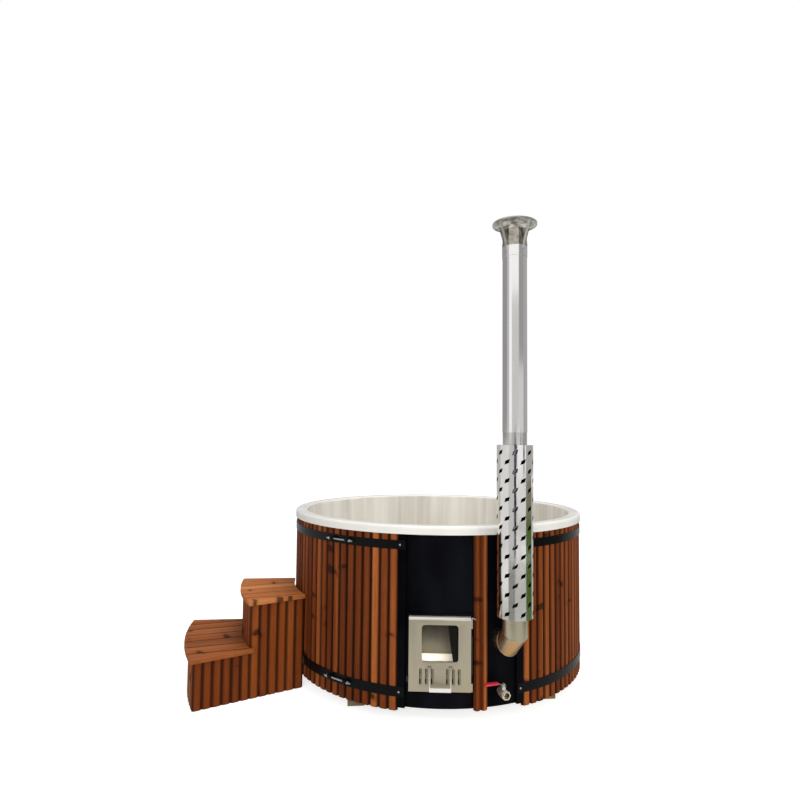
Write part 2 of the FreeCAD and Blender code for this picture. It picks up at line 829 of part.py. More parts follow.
jacket = block(-jacket_half, jacket_half, -jacket_front, -jacket_back, jacket_low, jacket_high + jacket_wall)
jacket = jacket.cut(block(-jacket_half + jacket_wall, jacket_half - jacket_wall, -jacket_front + jacket_wall,
                          -jacket_back - jacket_wall, jacket_low + jacket_wall, jacket_high))
jacket = jacket.cut(block(-firebox_half - seat_gap, firebox_half + seat_gap, -jacket_front,
                          -jacket_front + jacket_wall, throat_low - firebox_wall - seat_gap,
                          throat_high + firebox_wall + seat_gap))
for height in (return_height, flow_height):
    jacket = jacket.cut(rod(flow_pipe_radius + seat_gap, V(0, -jacket_back - jacket_wall, height),
                            V(0, -jacket_back, height)))
save("water_jacket", jacket.cut(duct_hole))

hearth = block(-throat_half + seat_gap, throat_half - seat_gap, hearth_front, -firebox_back - seat_gap,
               hearth_low, hearth_top)
save("hearth_board", hearth)

baffle_front = -frame_front + baffle_set_back
baffle_outer = throat_half - seat_gap
baffle_face = [
    V(baffle_low_x, baffle_front, hearth_top),
    V(baffle_outer, baffle_front, hearth_top),
    V(baffle_outer, baffle_front, baffle_high),
    V(baffle_high_x, baffle_front, baffle_high),
]
baffle_side = [
    V(baffle_low_x, baffle_front, hearth_top),
    V(baffle_low_x + baffle_wall, baffle_front, hearth_top),
    V(baffle_high_x + baffle_wall, baffle_front, baffle_high),
    V(baffle_high_x, baffle_front, baffle_high),
]
baffle = slab(baffle_face, V(0, baffle_wall, 0))
baffle = baffle.fuse(slab(baffle_side, V(0, -firebox_back - seat_gap - baffle_front, 0)))
save("flue_baffle", baffle.removeSplitter())

flow_pipes = []
for height in (return_height, flow_height):
    rise = (height - floor_top) / (seat_top - floor_top)
    wall_radius = floor_radius + rise * riser_taper
    flange_face = wall_radius - flow_pipe_flange * riser_taper / (seat_top - floor_top) - 2 * flow_pipe_wall
    tube = pipe(flow_pipe_radius - flow_pipe_wall, flow_pipe_radius, V(0, -jacket_back - jacket_wall, height),
                V(0, -flange_face, height))
    flange = pipe(flow_pipe_radius, flow_pipe_flange, V(0, -flange_face - flow_pipe_wall, height),
                  V(0, -flange_face, height))
    flow_pipes.append(tube.fuse(flange).removeSplitter())
save("flow_pipes", *flow_pipes)

# Smoke box beside the jacket, with the duct from the firebox and the spigot out through the panel
box_low = flue_height - smoke_box_height / 2
box_high = flue_height + smoke_box_height / 2
outer_box = block(-smoke_box_half, smoke_box_half, -smoke_box_outer, -smoke_box_inner, box_low, box_high)
outer_box = turned(outer_box, flue_angle)
inner_box = block(-smoke_box_half + smoke_skin, smoke_box_half - smoke_skin, -smoke_box_outer + smoke_skin,
                  -smoke_box_inner - smoke_skin, box_low + smoke_skin, box_high - smoke_skin)
inner_box = turned(inner_box, flue_angle)
beside = block(jacket_half, jacket_half + 4 * smoke_box_half, -rim_radius, 0, 0, rim_top)
duct_inside = block(throat_half, jacket_half + 4 * smoke_skin, throat_front + smoke_skin,
                    throat_back - smoke_skin, duct_low + smoke_skin, duct_high - smoke_skin)
duct = block(throat_half, jacket_half + smoke_skin, throat_front + seat_gap, throat_back - seat_gap,
             duct_low + seat_gap, duct_high - seat_gap)
walls = outer_box.common(beside).cut(inner_box.common(moved(beside, smoke_skin, 0, 0)))
smoke_box = walls.fuse(duct).cut(duct_inside)
spigot_start = V(0, -smoke_box_outer, flue_height)
spigot_end = V(0, -panel_radius - spigot_reach, flue_height)
spigot_hole = rod(flue_radius - sheet_wall, V(0, -smoke_box_outer - 1, flue_height),
                  V(0, -smoke_box_outer + smoke_skin + 1, flue_height))
save("smoke_box", smoke_box.cut(turned(spigot_hole, flue_angle)))
save("flue_spigot", turned(pipe(flue_radius - sheet_wall, flue_radius, spigot_start, spigot_end), flue_angle))

rosette_back = V(0, -cover_inner, flue_height)
rosette_front = V(0, -cover_inner - collar_wall, flue_height)
rosette = pipe(flue_radius + seat_gap, pipe_radius + collar_width, rosette_back, rosette_front)
save("flue_collar", turned(rosette, flue_angle))

# Mitred elbow and chimney, built round the Z axis with the tub on the +Y side
inlet = chimney_radius - cover_inner - collar_wall - seat_gap
elbow_path = [
    V(0, inlet, flue_height),
    V(0, elbow_turn, flue_height),
    V(0, 0, flue_height + elbow_turn),
    V(0, 0, elbow_top),
]
elbow = mitred(elbow_path, pipe_radius).cut(mitred(elbow_path, pipe_radius - sheet_wall))
save("flue_elbow", at_chimney(elbow))

lower_pipe_low = elbow_top - socket_depth
lower_pipe_top = chimney_joint + chimney_lap
save("chimney_pipe_lower", at_chimney(ring(lower_pipe_radius - sheet_wall, lower_pipe_radius,
                                           lower_pipe_low, lower_pipe_top)))
upper_pipe = ring(pipe_radius - sheet_wall, pipe_radius, chimney_joint, chimney_top)
save("chimney_pipe_upper", at_chimney(upper_pipe))

guard = ring(guard_radius - sheet_wall, guard_radius, guard_low, guard_high)
hole_rows = int((guard_high - guard_low - guard_first_hole) / guard_hole_pitch) + 1
hole_tools = []
for column in range(guard_columns):
    first = guard_high - guard_first_hole - guard_hole_pitch / 2 * ((column + 1) % 2)
    for row in range(hole_rows):
        height = first - row * guard_hole_pitch
        if height - guard_hole_height < guard_low:
            continue
        run = guard_hole_run / 2
        lean = guard_hole_lean / 2
        rise = guard_hole_rise / 2
        tall = guard_hole_height / 2
        leaning = [
            V(-run - lean, -guard_radius * 0.8, height - rise - tall),
            V(run - lean, -guard_radius * 0.8, height + rise - tall),
            V(run + lean, -guard_radius * 0.8, height + rise + tall),
            V(-run + lean, -guard_radius * 0.8, height - rise + tall),
        ]
        tool = slab(leaning, V(0, -guard_radius * 0.4, 0))
        hole_tools.append(turned(tool, guard_hole_turn + column * 360 / guard_columns))
guard = guard.cut(Part.makeCompound(hole_tools))
save("chimney_guard", at_chimney(guard))

spacers = []
for low in (guard_low + spacer_inset + spacer_height, guard_high - spacer_inset - spacer_height):
    for k in range(spacer_count):
        fin = block(-sheet_wall / 2, sheet_wall / 2, -guard_radius + sheet_wall + seat_gap / 3,
                    -lower_pipe_radius - seat_gap / 3, low, low + spacer_height)
        spacers.append(turned(fin, 180 / spacer_count + k * 360 / spacer_count))
save("guard_spacers", *[at_chimney(fin) for fin in spacers])

cap_collar_radius = pipe_radius + socket_gap + sheet_wall
cap_collar = ring(pipe_radius + socket_gap, cap_collar_radius, cap_collar_low, cap_collar_high)
save("cap_collar", at_chimney(cap_collar))

cone = spun_outline([
    (0, cap_edge + cap_rise),
    (cap_radius, cap_edge),
    (cap_radius, cap_edge - cap_hem),
    (cap_radius - sheet_wall, cap_edge - cap_hem),
    (cap_radius - sheet_wall, cap_edge - sheet_wall),
    (0, cap_edge + cap_rise - sheet_wall),
])
save("cap_cone", at_chimney(cone))

leg_top_radius = cap_radius - 2 * cap_hem
leg_top = cap_edge - sheet_wall + cap_rise * (1 - leg_top_radius / cap_radius)
leg_low = (cap_collar_low + cap_collar_high) / 2
legs = []
for k in range(cap_leg_count):
    outline = [
        V(0, -cap_collar_radius, leg_low),
        V(0, -cap_collar_radius, cap_collar_high),
        V(0, -leg_top_radius, leg_top),
        V(0, -leg_top_radius - cap_leg_wall, leg_top - cap_rise * cap_leg_wall / cap_radius),
        V(0, -cap_collar_radius - cap_leg_wall, cap_collar_high - cap_leg_wall / 2),
        V(0, -cap_collar_radius - cap_leg_wall, leg_low),
    ]
    leg = moved(slab(outline, V(cap_leg_width, 0, 0)), -cap_leg_width / 2, 0, 0)
    leg = leg.cut(ring(0.5, cap_collar_radius, leg_low, cap_collar_high))
    leg = leg.cut(cone)
    legs.append(turned(leg, cap_leg_angle + k * 360 / cap_leg_count))
save("cap_legs", *[at_chimney(leg) for leg in legs])


def rolled_block(low_x, high_x, front, back, low_z, high_z, roll):
    slant = roll * (1 - math.sqrt(0.5))
    roll_start = V(low_x, -front, high_z - roll)
    roll_end = V(low_x, roll - front, high_z)
    edges = [
        line(V(low_x, -front, low_z), roll_start),
        arc(roll_start, V(low_x, slant - front, high_z - slant), roll_end),
        line(roll_end, V(low_x, -back, high_z)),
        line(V(low_x, -back, high_z), V(low_x, -back, low_z)),
        line(V(low_x, -back, low_z), V(low_x, -front, low_z)),
    ]
    return Part.Face(Part.Wire(edges)).extrude(V(high_x - low_x, 0, 0))


# Fire door: a folded sheet pan, rolled over at the top, with its window, air slots and the two slots for
# the handle's tabs
pan = rolled_block(door_left, door_right, door_face, door_back, door_low, door_high, door_roll)
pan = pan.cut(rolled_block(door_left + door_wall, door_right - door_wall, sheet_inside, door_back,
                           door_low + door_wall, door_high - door_wall, door_roll - door_wall))
pan = pan.cut(window(window_half, window_low, window_high, window_round, door_face + 1, sheet_inside))
for x in slot_places:
    pan = pan.cut(air_slot(x, door_face + 1, sheet_inside))
tab_slot_half = handle_wall / 2 + handle_travel / 2 + 1
for side in (-1, 1):
    pan = pan.cut(block(side * handle_half - tab_slot_half, side * handle_half + tab_slot_half, -door_face,
                        -sheet_inside, handle_tab_low - seat_gap, handle_tab_high + seat_gap))
knuckle_top = door_high - knuckle_drop
knuckles = ((knuckle_top - top_knuckle, knuckle_top), (door_low, door_low + top_knuckle))
for low, high in knuckles:
    knuckle = rod(knuckle_radius, V(pin_x, pin_y, low), V(pin_x, pin_y, high))
    knuckle = knuckle.fuse(block(door_right - door_wall, pin_x, pin_y - knuckle_radius, pin_y, low, high))
    pan = pan.fuse(knuckle)
    pan = pan.cut(rod(pin_radius + running_gap, V(pin_x, pin_y, low), V(pin_x, pin_y, high)))
save("firebox_door", pan.removeSplitter())

glass_half = window_half + glass_lap
glass_low = window_low - glass_lap
glass_high = window_high + glass_lap
glass_front = sheet_inside - seat_gap
glass_back = glass_front - glass_wall
save("door_glass", block(-glass_half, glass_half, -glass_front, -glass_back, glass_low, glass_high))

retainer_back = glass_back - seat_gap - retainer_wall
rim_half = glass_half + seat_gap + retainer_rim / 2
rim_low = glass_low - seat_gap - retainer_rim / 2
rim_high = glass_high + seat_gap + retainer_rim / 2
retainer = block(-rim_half, rim_half, -sheet_inside, -retainer_back, rim_low, rim_high)
retainer = retainer.cut(block(-glass_half - seat_gap, glass_half + seat_gap, -sheet_inside,
                              -glass_back + seat_gap, glass_low - seat_gap, glass_high + seat_gap))
retainer = retainer.cut(block(-window_half, window_half, -sheet_inside, -retainer_back,
                              window_low, window_high))
save("glass_retainer", retainer)

# Air slider and its handle, half open as it rests
slider = block(-slot_span - slider_margin, slot_span + slider_margin, -slider_front, -slider_back,
               slider_low, slider_high)
for x in slot_places:
    slider = slider.cut(air_slot(x + slider_rest, slider_front + 1, slider_back - 1))
save("air_slider", slider)

guide_back = slider_back - seat_gap
guide_half = slot_span + slider_margin + handle_travel
guides = []
for edge, way in ((slider_low, -1), (slider_high, 1)):
    near = edge + way * seat_gap
    far = near + way * guide_bar
    lip = edge - way * guide_lip
    low, high = sorted((near, far))
    lip_low, lip_high = sorted((lip, far))
    bar = block(-guide_half, guide_half, -sheet_inside, -guide_back, low, high)
    lip_bar = block(-guide_half, guide_half, -guide_back, -guide_back + door_wall, lip_low, lip_high)
    guides.append(bar.fuse(lip_bar))
save("slider_guides", *guides)

grip_front = door_face + handle_reach
grip_high = handle_low + handle_grip
cheek = [
    V(0, -slider_front, handle_tab_low),
    V(0, -slider_front, handle_tab_high),
    V(0, -door_face - handle_shoulder, handle_tab_high),
    V(0, -grip_front, grip_high),
    V(0, -grip_front, handle_low),
    V(0, -grip_front + handle_grip / 2, handle_low),
    V(0, -door_face - handle_clear, handle_tab_low - 2 * handle_shoulder),
    V(0, -door_face - handle_clear, handle_tab_low),
]
handle = block(-handle_half - handle_wall / 2, handle_half + handle_wall / 2, -grip_front,
               -grip_front + handle_wall, handle_low, grip_high)
for side in (-1, 1):
    plate = slab(cheek, V(handle_wall, 0, 0))
    handle = handle.fuse(moved(plate, side * handle_half - handle_wall / 2, 0, 0))
save("air_handle", handle.removeSplitter())

# Hinge: lugs on the frame and one bent pin through lugs and door
lug_levels = (knuckle_top - top_knuckle - seat_gap - lug_knuckle, door_low + top_knuckle + seat_gap)
hinge_lugs = []
for low in lug_levels:
    high = low + lug_knuckle
    ear = rod(knuckle_radius, V(pin_x, pin_y, low), V(pin_x, pin_y, high))
    ear = ear.fuse(block(pin_x, pin_x + knuckle_radius, pin_y, -frame_front, low, high))
    ear = ear.cut(rod(pin_radius + running_gap, V(pin_x, pin_y, low), V(pin_x, pin_y, high)))
    hinge_lugs.append(ear.removeSplitter())
save("hinge_lugs", *hinge_lugs)

pin_top = knuckle_top + pin_radius + pin_clear
tail_lean = math.radians(pin_tail_lean)
tail_side = V(math.cos(tail_lean), math.sin(tail_lean), 0)


def pin_bend_point(turn):
    bend_start = V(pin_x, pin_y, pin_top)
    return bend_start + tail_side * (pin_bend * (1 - math.cos(turn))) + UP * (pin_bend * math.sin(turn))


full_turn = math.radians(pin_bend_turn)
bend_end = pin_bend_point(full_turn)
tail_way = tail_side * math.sin(full_turn) + UP * math.cos(full_turn)
pin_path = Part.Wire([
    line(V(pin_x, pin_y, door_low), V(pin_x, pin_y, pin_top)),
    arc(V(pin_x, pin_y, pin_top), pin_bend_point(full_turn / 2), bend_end),
    line(bend_end, bend_end + tail_way * pin_tail),
])
pin_section = Part.Wire([Part.makeCircle(pin_radius, V(pin_x, pin_y, door_low), UP)])
save("hinge_pin", pin_path.makePipeShell([pin_section], True, False))

# Turning catch at the door's free edge, upright when it lets the door go
catch_back = door_face + catch_clear
catch_front = catch_back + catch_wall
button = block(catch_x - catch_width / 2, catch_x + catch_width / 2, -catch_front, -catch_back,
               catch_height - catch_length / 2, catch_height + catch_length / 2)
button = button.cut(rod(catch_bolt_radius + running_gap, V(catch_x, -catch_front, catch_height),
                        V(catch_x, -catch_back, catch_height)))
save("door_catch", button)

spacer_radius = catch_width / 2
catch_bolt = rod(catch_bolt_radius, V(catch_x, -frame_front + frame_wall, catch_height),
                 V(catch_x, -catch_front - catch_head, catch_height))
catch_bolt = catch_bolt.fuse(rod(spacer_radius, V(catch_x, -frame_front, catch_height),
                                 V(catch_x, -catch_back + seat_gap, catch_height)))
catch_bolt = catch_bolt.fuse(rod(spacer_radius, V(catch_x, -catch_front - seat_gap, catch_height),
                                 V(catch_x, -catch_front - catch_head, catch_height)))
save("catch_bolt", catch_bolt)

# Steps: ribbed sides with curved risers between them, treads of parallel boards, posts in the corners
lower_tread_low = lower_tread_top - tread_wall
upper_tread_low = upper_tread_top - tread_wall
upper_riser_inner = step_upper_riser - step_board
lower_riser_inner = step_lower_riser - step_board


def step_side(side, angle):
    upper_ribs = round(upper_going / step_rib)
    lower_ribs = round(lower_going / step_rib)
    upper = ribbed_panel(step_inner, step_upper_riser, upper_ribs, step_board, step_groove, side, 0,
                         upper_tread_low)
    lower = ribbed_panel(step_upper_riser, step_lower_riser, lower_ribs, step_board, step_groove, side, 0,
                         lower_tread_low)
    return turned(upper.fuse(lower).removeSplitter(), angle)


save("step_side_near", step_side(1, step_near_side))
save("step_side_far", step_side(-1, step_far_side))


def riser(outer, low, high):
    side_angle = math.degrees((step_board + 2 * seat_gap) / outer)
    start = step_far_side + side_angle
    end = step_near_side - side_angle
    ribs = round(math.radians(end - start) * outer / step_rib)
    return ribbed_sector(outer - step_board, outer, start, end, ribs, step_groove, low, high)


save("step_riser_lower", riser(step_lower_riser, 0, lower_tread_low))
save("step_riser_upper", riser(step_upper_riser, lower_tread_low, upper_tread_low))


def tread(outline, outer, low, high, count):
    half_width = outer * math.sin(math.radians(step_half))
    pitch = 2 * half_width / count
    strips_cut = []
    for k in range(count):
        left = -half_width + k * pitch + (tread_gap / 2 if k else 0)
        right = -half_width + (k + 1) * pitch - (tread_gap / 2 if k < count - 1 else 0)
        plank = block(left, right, -outer - 1, 0, low, high)
        strips_cut += outline.common(plank).Solids
    return [turned(plank, step_middle) for plank in strips_cut]


lower_tread_outer = step_lower_riser + step_lower_nose
lower_outline = sector(step_upper_riser - step_tread_return, lower_tread_outer, -step_half, step_half,
                       lower_tread_low, lower_tread_top)
box_half = (step_near_side - step_far_side) / 2 + math.degrees(seat_gap / step_upper_riser)
upper_box = sector(step_inner, step_upper_riser + seat_gap, -box_half, box_half, lower_tread_low,
                   lower_tread_top)
save("step_tread_lower", *tread(lower_outline.cut(upper_box), lower_tread_outer, lower_tread_low,
                                lower_tread_top, lower_tread_boards))
upper_tread_outer = step_upper_riser + step_upper_nose
upper_outline = sector(step_inner, upper_tread_outer, -step_half, step_half, upper_tread_low,
                       upper_tread_top)
save("step_tread_upper", *tread(upper_outline, upper_tread_outer, upper_tread_low, upper_tread_top,
                                upper_tread_boards))

frame_pieces = []
for side, angle in ((1, step_near_side), (-1, step_far_side)):
    outer_x = -side * (step_board + seat_gap)
    inner_x = outer_x - side * step_post
    low_x, high_x = sorted((outer_x, inner_x))
    upper_end = math.sqrt((upper_riser_inner - seat_gap) ** 2 - inner_x ** 2)
    lower_end = math.sqrt((lower_riser_inner - seat_gap) ** 2 - inner_x ** 2)
    post_places = (
        (step_inner + step_post / 4, upper_tread_low),
        (upper_end - step_post, upper_tread_low),
        (lower_end - step_post, lower_tread_low),
    )
    for start, height in post_places:
        post = block(low_x, high_x, -start - step_post, -start, 0, height)
        frame_pieces.append(turned(post, angle))
    rail_start = step_inner + step_post * 1.25 + seat_gap
    upper_rail = block(low_x, high_x, -(upper_end - step_post - seat_gap), -rail_start,
                       upper_tread_low - ledger_height, upper_tread_low)
    lower_rail = block(low_x, high_x, -(lower_end - step_post - seat_gap), -(upper_end + seat_gap),
                       lower_tread_low - ledger_height, lower_tread_low)
    frame_pieces.append(turned(upper_rail, angle))
    frame_pieces.append(turned(lower_rail, angle))
save("step_frame", *frame_pieces)
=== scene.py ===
# %% [markdown]
# # Wood-fired hot tub
# The solids give every piece its place and size. This lesson dresses them: boards with eased ribs, a punched
# heat guard, softened sheet edges, and a procedural finish for each material. All sizes are in metres, in the
# frame of the solids: +Z is up, the fire door looks along -Y, and angles grow from the door towards +X.

# %% Load the solids
import json
from math import atan2, cos, degrees, hypot, pi, radians, sin, sqrt

import bmesh
import bpy
from mathutils import Matrix, Vector

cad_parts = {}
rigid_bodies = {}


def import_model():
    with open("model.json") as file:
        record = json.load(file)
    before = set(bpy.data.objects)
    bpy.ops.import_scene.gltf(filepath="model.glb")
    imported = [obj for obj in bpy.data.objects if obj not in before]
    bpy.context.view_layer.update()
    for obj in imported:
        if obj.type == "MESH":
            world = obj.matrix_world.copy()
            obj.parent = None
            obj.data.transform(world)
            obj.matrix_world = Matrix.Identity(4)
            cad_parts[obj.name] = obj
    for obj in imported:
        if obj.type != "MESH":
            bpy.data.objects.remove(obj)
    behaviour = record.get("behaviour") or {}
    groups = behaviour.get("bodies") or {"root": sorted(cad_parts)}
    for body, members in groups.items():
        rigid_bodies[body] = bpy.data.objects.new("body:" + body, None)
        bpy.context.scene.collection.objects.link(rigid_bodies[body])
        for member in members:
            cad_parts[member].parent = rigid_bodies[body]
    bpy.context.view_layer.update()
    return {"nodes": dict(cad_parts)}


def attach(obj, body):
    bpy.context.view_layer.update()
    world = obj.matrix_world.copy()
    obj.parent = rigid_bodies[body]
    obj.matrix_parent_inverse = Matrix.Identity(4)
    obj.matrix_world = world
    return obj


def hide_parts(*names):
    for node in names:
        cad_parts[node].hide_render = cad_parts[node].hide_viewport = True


for leftover in list(bpy.data.objects):
    bpy.data.objects.remove(leftover)
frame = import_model()


def polar(radius, angle, height=0.0):
    """A point at a distance from the tub's axis, at an angle from the door."""
    turn = radians(angle)
    return Vector((radius * sin(turn), -radius * cos(turn), height))


class Extent:
    """How far a solid reaches: from the tub's axis, in height, and in angle from the door."""

    def __init__(self, node):
        corners = [vertex.co for vertex in frame["nodes"][node].data.vertices]
        radii = [hypot(corner.x, corner.y) for corner in corners]
        heights = [corner.z for corner in corners]
        turns = [degrees(atan2(corner.x, -corner.y)) for corner in corners]
        self.inner, self.outer = min(radii), max(radii)
        self.low, self.high = min(heights), max(heights)
        self.first, self.last = min(turns), max(turns)
        sides = [[corner[axis] for corner in corners] for axis in (0, 1)]
        self.middle = Vector([(min(side) + max(side)) / 2 for side in sides] + [0])
        self.half_width = (max(sides[0]) - min(sides[0])) / 2


def mesh_of(name, corners, faces):
    mesh = bpy.data.meshes.new(name)
    mesh.from_pydata(corners, [], faces)
    return mesh


def new_piece(name, data):
    """An object of a mesh, a curve, a lamp or a camera, linked into the scene."""
    piece = bpy.data.objects.new(name, data)
    bpy.context.collection.objects.link(piece)
    return piece


# %% [markdown]
# ## Camera
# The photograph was taken from chest height, a little left of the door, with a wide lens. The camera is set
# by three axes in a matrix rather than by turning it about by eye, so that yaw, pitch and roll stay readable.

# %% Camera
image_side = 800
focal_pixels = 562.17
principal_point = (405.74, 413.88)
eye = Vector((-0.0966, -3.7129, 1.3714))
yaw = radians(-1.68)
pitch = radians(3.09)
roll = radians(-0.56)

level_right = Vector((cos(yaw), -sin(yaw), 0))
ahead = Vector((sin(yaw) * cos(pitch), cos(yaw) * cos(pitch), sin(pitch)))
level_up = level_right.cross(ahead)
right = level_right * cos(roll) - level_up * sin(roll)
up = level_right * sin(roll) + level_up * cos(roll)

lens = bpy.data.cameras.new("photo_camera")
lens.sensor_width = 36
lens.lens = focal_pixels / image_side * lens.sensor_width
lens.shift_x = 0.5 - principal_point[0] / image_side
lens.shift_y = principal_point[1] / image_side - 0.5
camera = new_piece("photo_camera", lens)
camera.matrix_world = Matrix((right, up, -ahead)).transposed().to_4x4()
camera.location = eye
bpy.context.scene.camera = camera
bpy.context.scene.view_settings.view_transform = "Standard"
print("lens", round(lens.lens, 2), "mm")

# %% [markdown]
# ## Node helper
# Shader trees and geometry trees are both nodes and links. One small helper adds a node, sets its options,
# and gives each input either a plain value or a link, so that a tree reads from its first texture to its end.
# The sums and mixes find their tree by the first socket that they are given.


# %% Node helper
def wire(node, title, value):
    """Gives an input of a node a plain value, or a link to the socket that is its value."""
    if isinstance(value, bpy.types.NodeSocket):
        node.id_data.links.new(value, node.inputs[title])
    else:
        node.inputs[title].default_value = value


def add_node(owner, kind, inputs=None, **options):
    """A new node with its options and inputs; the owner is its tree, or a node or socket in that tree."""
    made = owner.id_data.nodes.new(kind)
    for option, value in options.items():
        setattr(made, option, value)
    for title, value in (inputs or {}).items():
        wire(made, title, value)
    return made


def math_of(operation, first, second=0.0, clamp=False):
    node = add_node(first, "ShaderNodeMath", {0: first, 1: second}, operation=operation, use_clamp=clamp)
    return node.outputs[0]


def scaled(value, share):
    return math_of("MULTIPLY", value, share)


def weighted(first, *others):
    """The sum of values, each given with its share."""
    total = scaled(*first)
    for value, share in others:
        total = math_of("ADD", total, scaled(value, share))
    return total


def vector_of(operation, first, second=(0, 0, 0)):
    """Vector arithmetic; a length or a dot product comes out as a number."""
    outputs = add_node(first, "ShaderNodeVectorMath", {0: first, 1: second}, operation=operation).outputs
    return outputs["Value" if operation in ("LENGTH", "DOT_PRODUCT") else "Vector"]


def vector_from(owner, x=0.0, y=0.0, z=0.0):
    return add_node(owner, "ShaderNodeCombineXYZ", {0: x, 1: y, 2: z}).outputs[0]


def axes_of(vector):
    return add_node(vector, "ShaderNodeSeparateXYZ", {0: vector}).outputs


def colour(red, green, blue):
    """A colour given as screen values from 0 to 255, turned into the linear values that shaders use."""
    def linear(value):
        share = value / 255
        return share / 12.92 if share <= 0.04045 else ((share + 0.055) / 1.055) ** 2.4
    return (linear(red), linear(green), linear(blue), 1.0)


def mixed(factor, first, second):
    """Two colours mixed by a factor; the colour sockets of a Mix node are numbers 6 and 7."""
    node = add_node(factor, "ShaderNodeMix", {0: factor, 6: first, 7: second}, data_type="RGBA")
    return node.outputs[2]


def spread(value, low, high, new_low=0.0, new_high=1.0):
    """A value stretched from one range to another and kept inside it."""
    node = add_node(value, "ShaderNodeMapRange", {0: value, 1: low, 2: high, 3: new_low, 4: new_high})
    return node.outputs[0]


def noise(where, scale, detail=3.0, roughness=0.5, distortion=0.0):
    node = add_node(where, "ShaderNodeTexNoise", {"Vector": where, "Scale": scale, "Detail": detail,
                                                 "Roughness": roughness, "Distortion": distortion})
    return node.outputs["Fac"]


print("node helper ready")

# %% [markdown]
# ## Finish helpers
# Every finish starts from the same shader, and most patterns lie on the piece's own coordinates. Many are one
# noise between two tones, which may also change the sheen and roughen the face, so one function makes those.


# %% Finish helpers
def shader_of(finish):
    return finish.node_tree.nodes["Principled BSDF"]


def new_finish(name, metallic=0.0, roughness=0.5):
    """A material and its shader, ready for the textures."""
    finish = bpy.data.materials.new(name)
    finish.use_nodes = True
    shader = shader_of(finish)
    wire(shader, "Metallic", metallic)
    wire(shader, "Roughness", roughness)
    return finish, shader


def roughen(shader, height, strength, distance):
    bump = add_node(shader, "ShaderNodeBump", {"Height": height, "Strength": strength, "Distance": distance})
    wire(shader, "Normal", bump.outputs[0])


def place_on_piece(shader, stretch=(1, 1, 1)):
    """Object coordinates, stretched for a pattern."""
    where = add_node(shader, "ShaderNodeTexCoord").outputs["Object"]
    return add_node(shader, "ShaderNodeMapping", {"Vector": where, "Scale": stretch}).outputs[0]


def height_of(shader):
    return axes_of(place_on_piece(shader))[2]


def speckle(shader, scale, detail=3.0, roughness=0.5, stretch=(1, 1, 1), distortion=0.0):
    """Noise on the piece's own coordinates."""
    return noise(place_on_piece(shader, stretch), scale, detail, roughness, distortion)


def layered(shader, base, *layers):
    """Gives the shader a base colour with other colours laid over it, each by a pattern's share."""
    for pattern, tone in layers:
        base = mixed(pattern, base, tone)
    wire(shader, "Base Color", base)


def mottled(name, tones, grain, metallic=0.0, roughness=0.5, window=None, sheen=None, relief=None):
    """A finish of two tones by one speckle: window sharpens it, sheen and relief let it shine and bump."""
    finish, shader = new_finish(name, metallic, roughness)
    pattern = speckle(shader, *grain)
    share = spread(pattern, *window) if window else pattern
    layered(shader, colour(*tones[0]), (share, colour(*tones[1])))
    if sheen:
        wire(shader, "Roughness", spread(pattern, 0.3, 0.7, *sheen))
    if relief:
        roughen(shader, pattern, *relief)
    return finish


print("finish helpers ready")

# %% [markdown]
# ## Stage
# A plain pale floor and a white world. The world is full white only to rays from the camera, from gloss and
# through glass; to the diffuse surfaces it is a soft fill, so the wood isn't washed out. The floor is pale
# paint with a little glow for those same rays, which keeps the shadow under the tub. Gloss gets less of it,
# because steel that shows a floor brighter than white would burn out.

# %% World and floor
world_fill = 0.45
floor_half = 14.0
floor_drop = 0.0005
floor_glow = 0.74
floor_gloss = 0.10


def seen_directly(shader, in_view, in_gloss):
    """One level for rays from the camera or through glass, one for gloss, and 0 for diffuse light."""
    path = add_node(shader, "ShaderNodeLightPath").outputs
    view = math_of("MAXIMUM", path["Is Camera Ray"], path["Is Transmission Ray"])
    gloss = scaled(path["Is Glossy Ray"], in_gloss)
    return math_of("MAXIMUM", scaled(view, in_view), gloss)


world = bpy.data.worlds.new("studio")
bpy.context.scene.world = world
world.use_nodes = True
sky_light = world.node_tree.nodes["Background"]
wire(sky_light, "Color", (1, 1, 1, 1))
wire(sky_light, "Strength", math_of("MAXIMUM", seen_directly(sky_light, 1.0, 1.0), world_fill))

floor_finish, floor_shader = new_finish("floor_paint", roughness=0.9)
wire(floor_shader, "Base Color", colour(216, 216, 214))
wire(floor_shader, "Emission Color", (1, 1, 1, 1))
wire(floor_shader, "Emission Strength", seen_directly(floor_shader, floor_glow, floor_gloss))
floor_corners = [(x * floor_half, y * floor_half, 0) for x, y in ((-1, -1), (1, -1), (1, 1), (-1, 1))]
floor = new_piece("studio_floor", mesh_of("studio_floor", floor_corners, [(0, 1, 2, 3)]))
floor.data.materials.append(floor_finish)
floor.location.z = -floor_drop
print("stage: floor", 2 * floor_half, "m wide")

# %% [markdown]
# ## Lamps
# Large soft lamps: one from the upper left behind the camera, a stronger one from the right, one from above
# that lights the rim, the treads and the bowl, and one at eye level that looks at the fire door. Size makes a
# lamp soft, so each is as large as a window. A small one hangs inside the firebox over the back of the
# hearth, because little light gets in through the pane. The steel shows the white room, not the lamps.


# %% Lamps
def soft_lamp(name, place, target, sides, power, fan=180):
    """A lamp of two side lengths that looks at a target, its light kept inside a fan of degrees."""
    lamp = bpy.data.lights.new(name, "AREA")
    lamp.shape = "RECTANGLE"
    lamp.size, lamp.size_y = sides
    lamp.energy = power
    lamp.spread = radians(fan)
    stand = new_piece(name, lamp)
    stand.location = place
    stand.rotation_euler = (Vector(target) - Vector(place)).to_track_quat("-Z", "Y").to_euler()
    stand.visible_glossy = False
    stand.visible_camera = False
    return stand


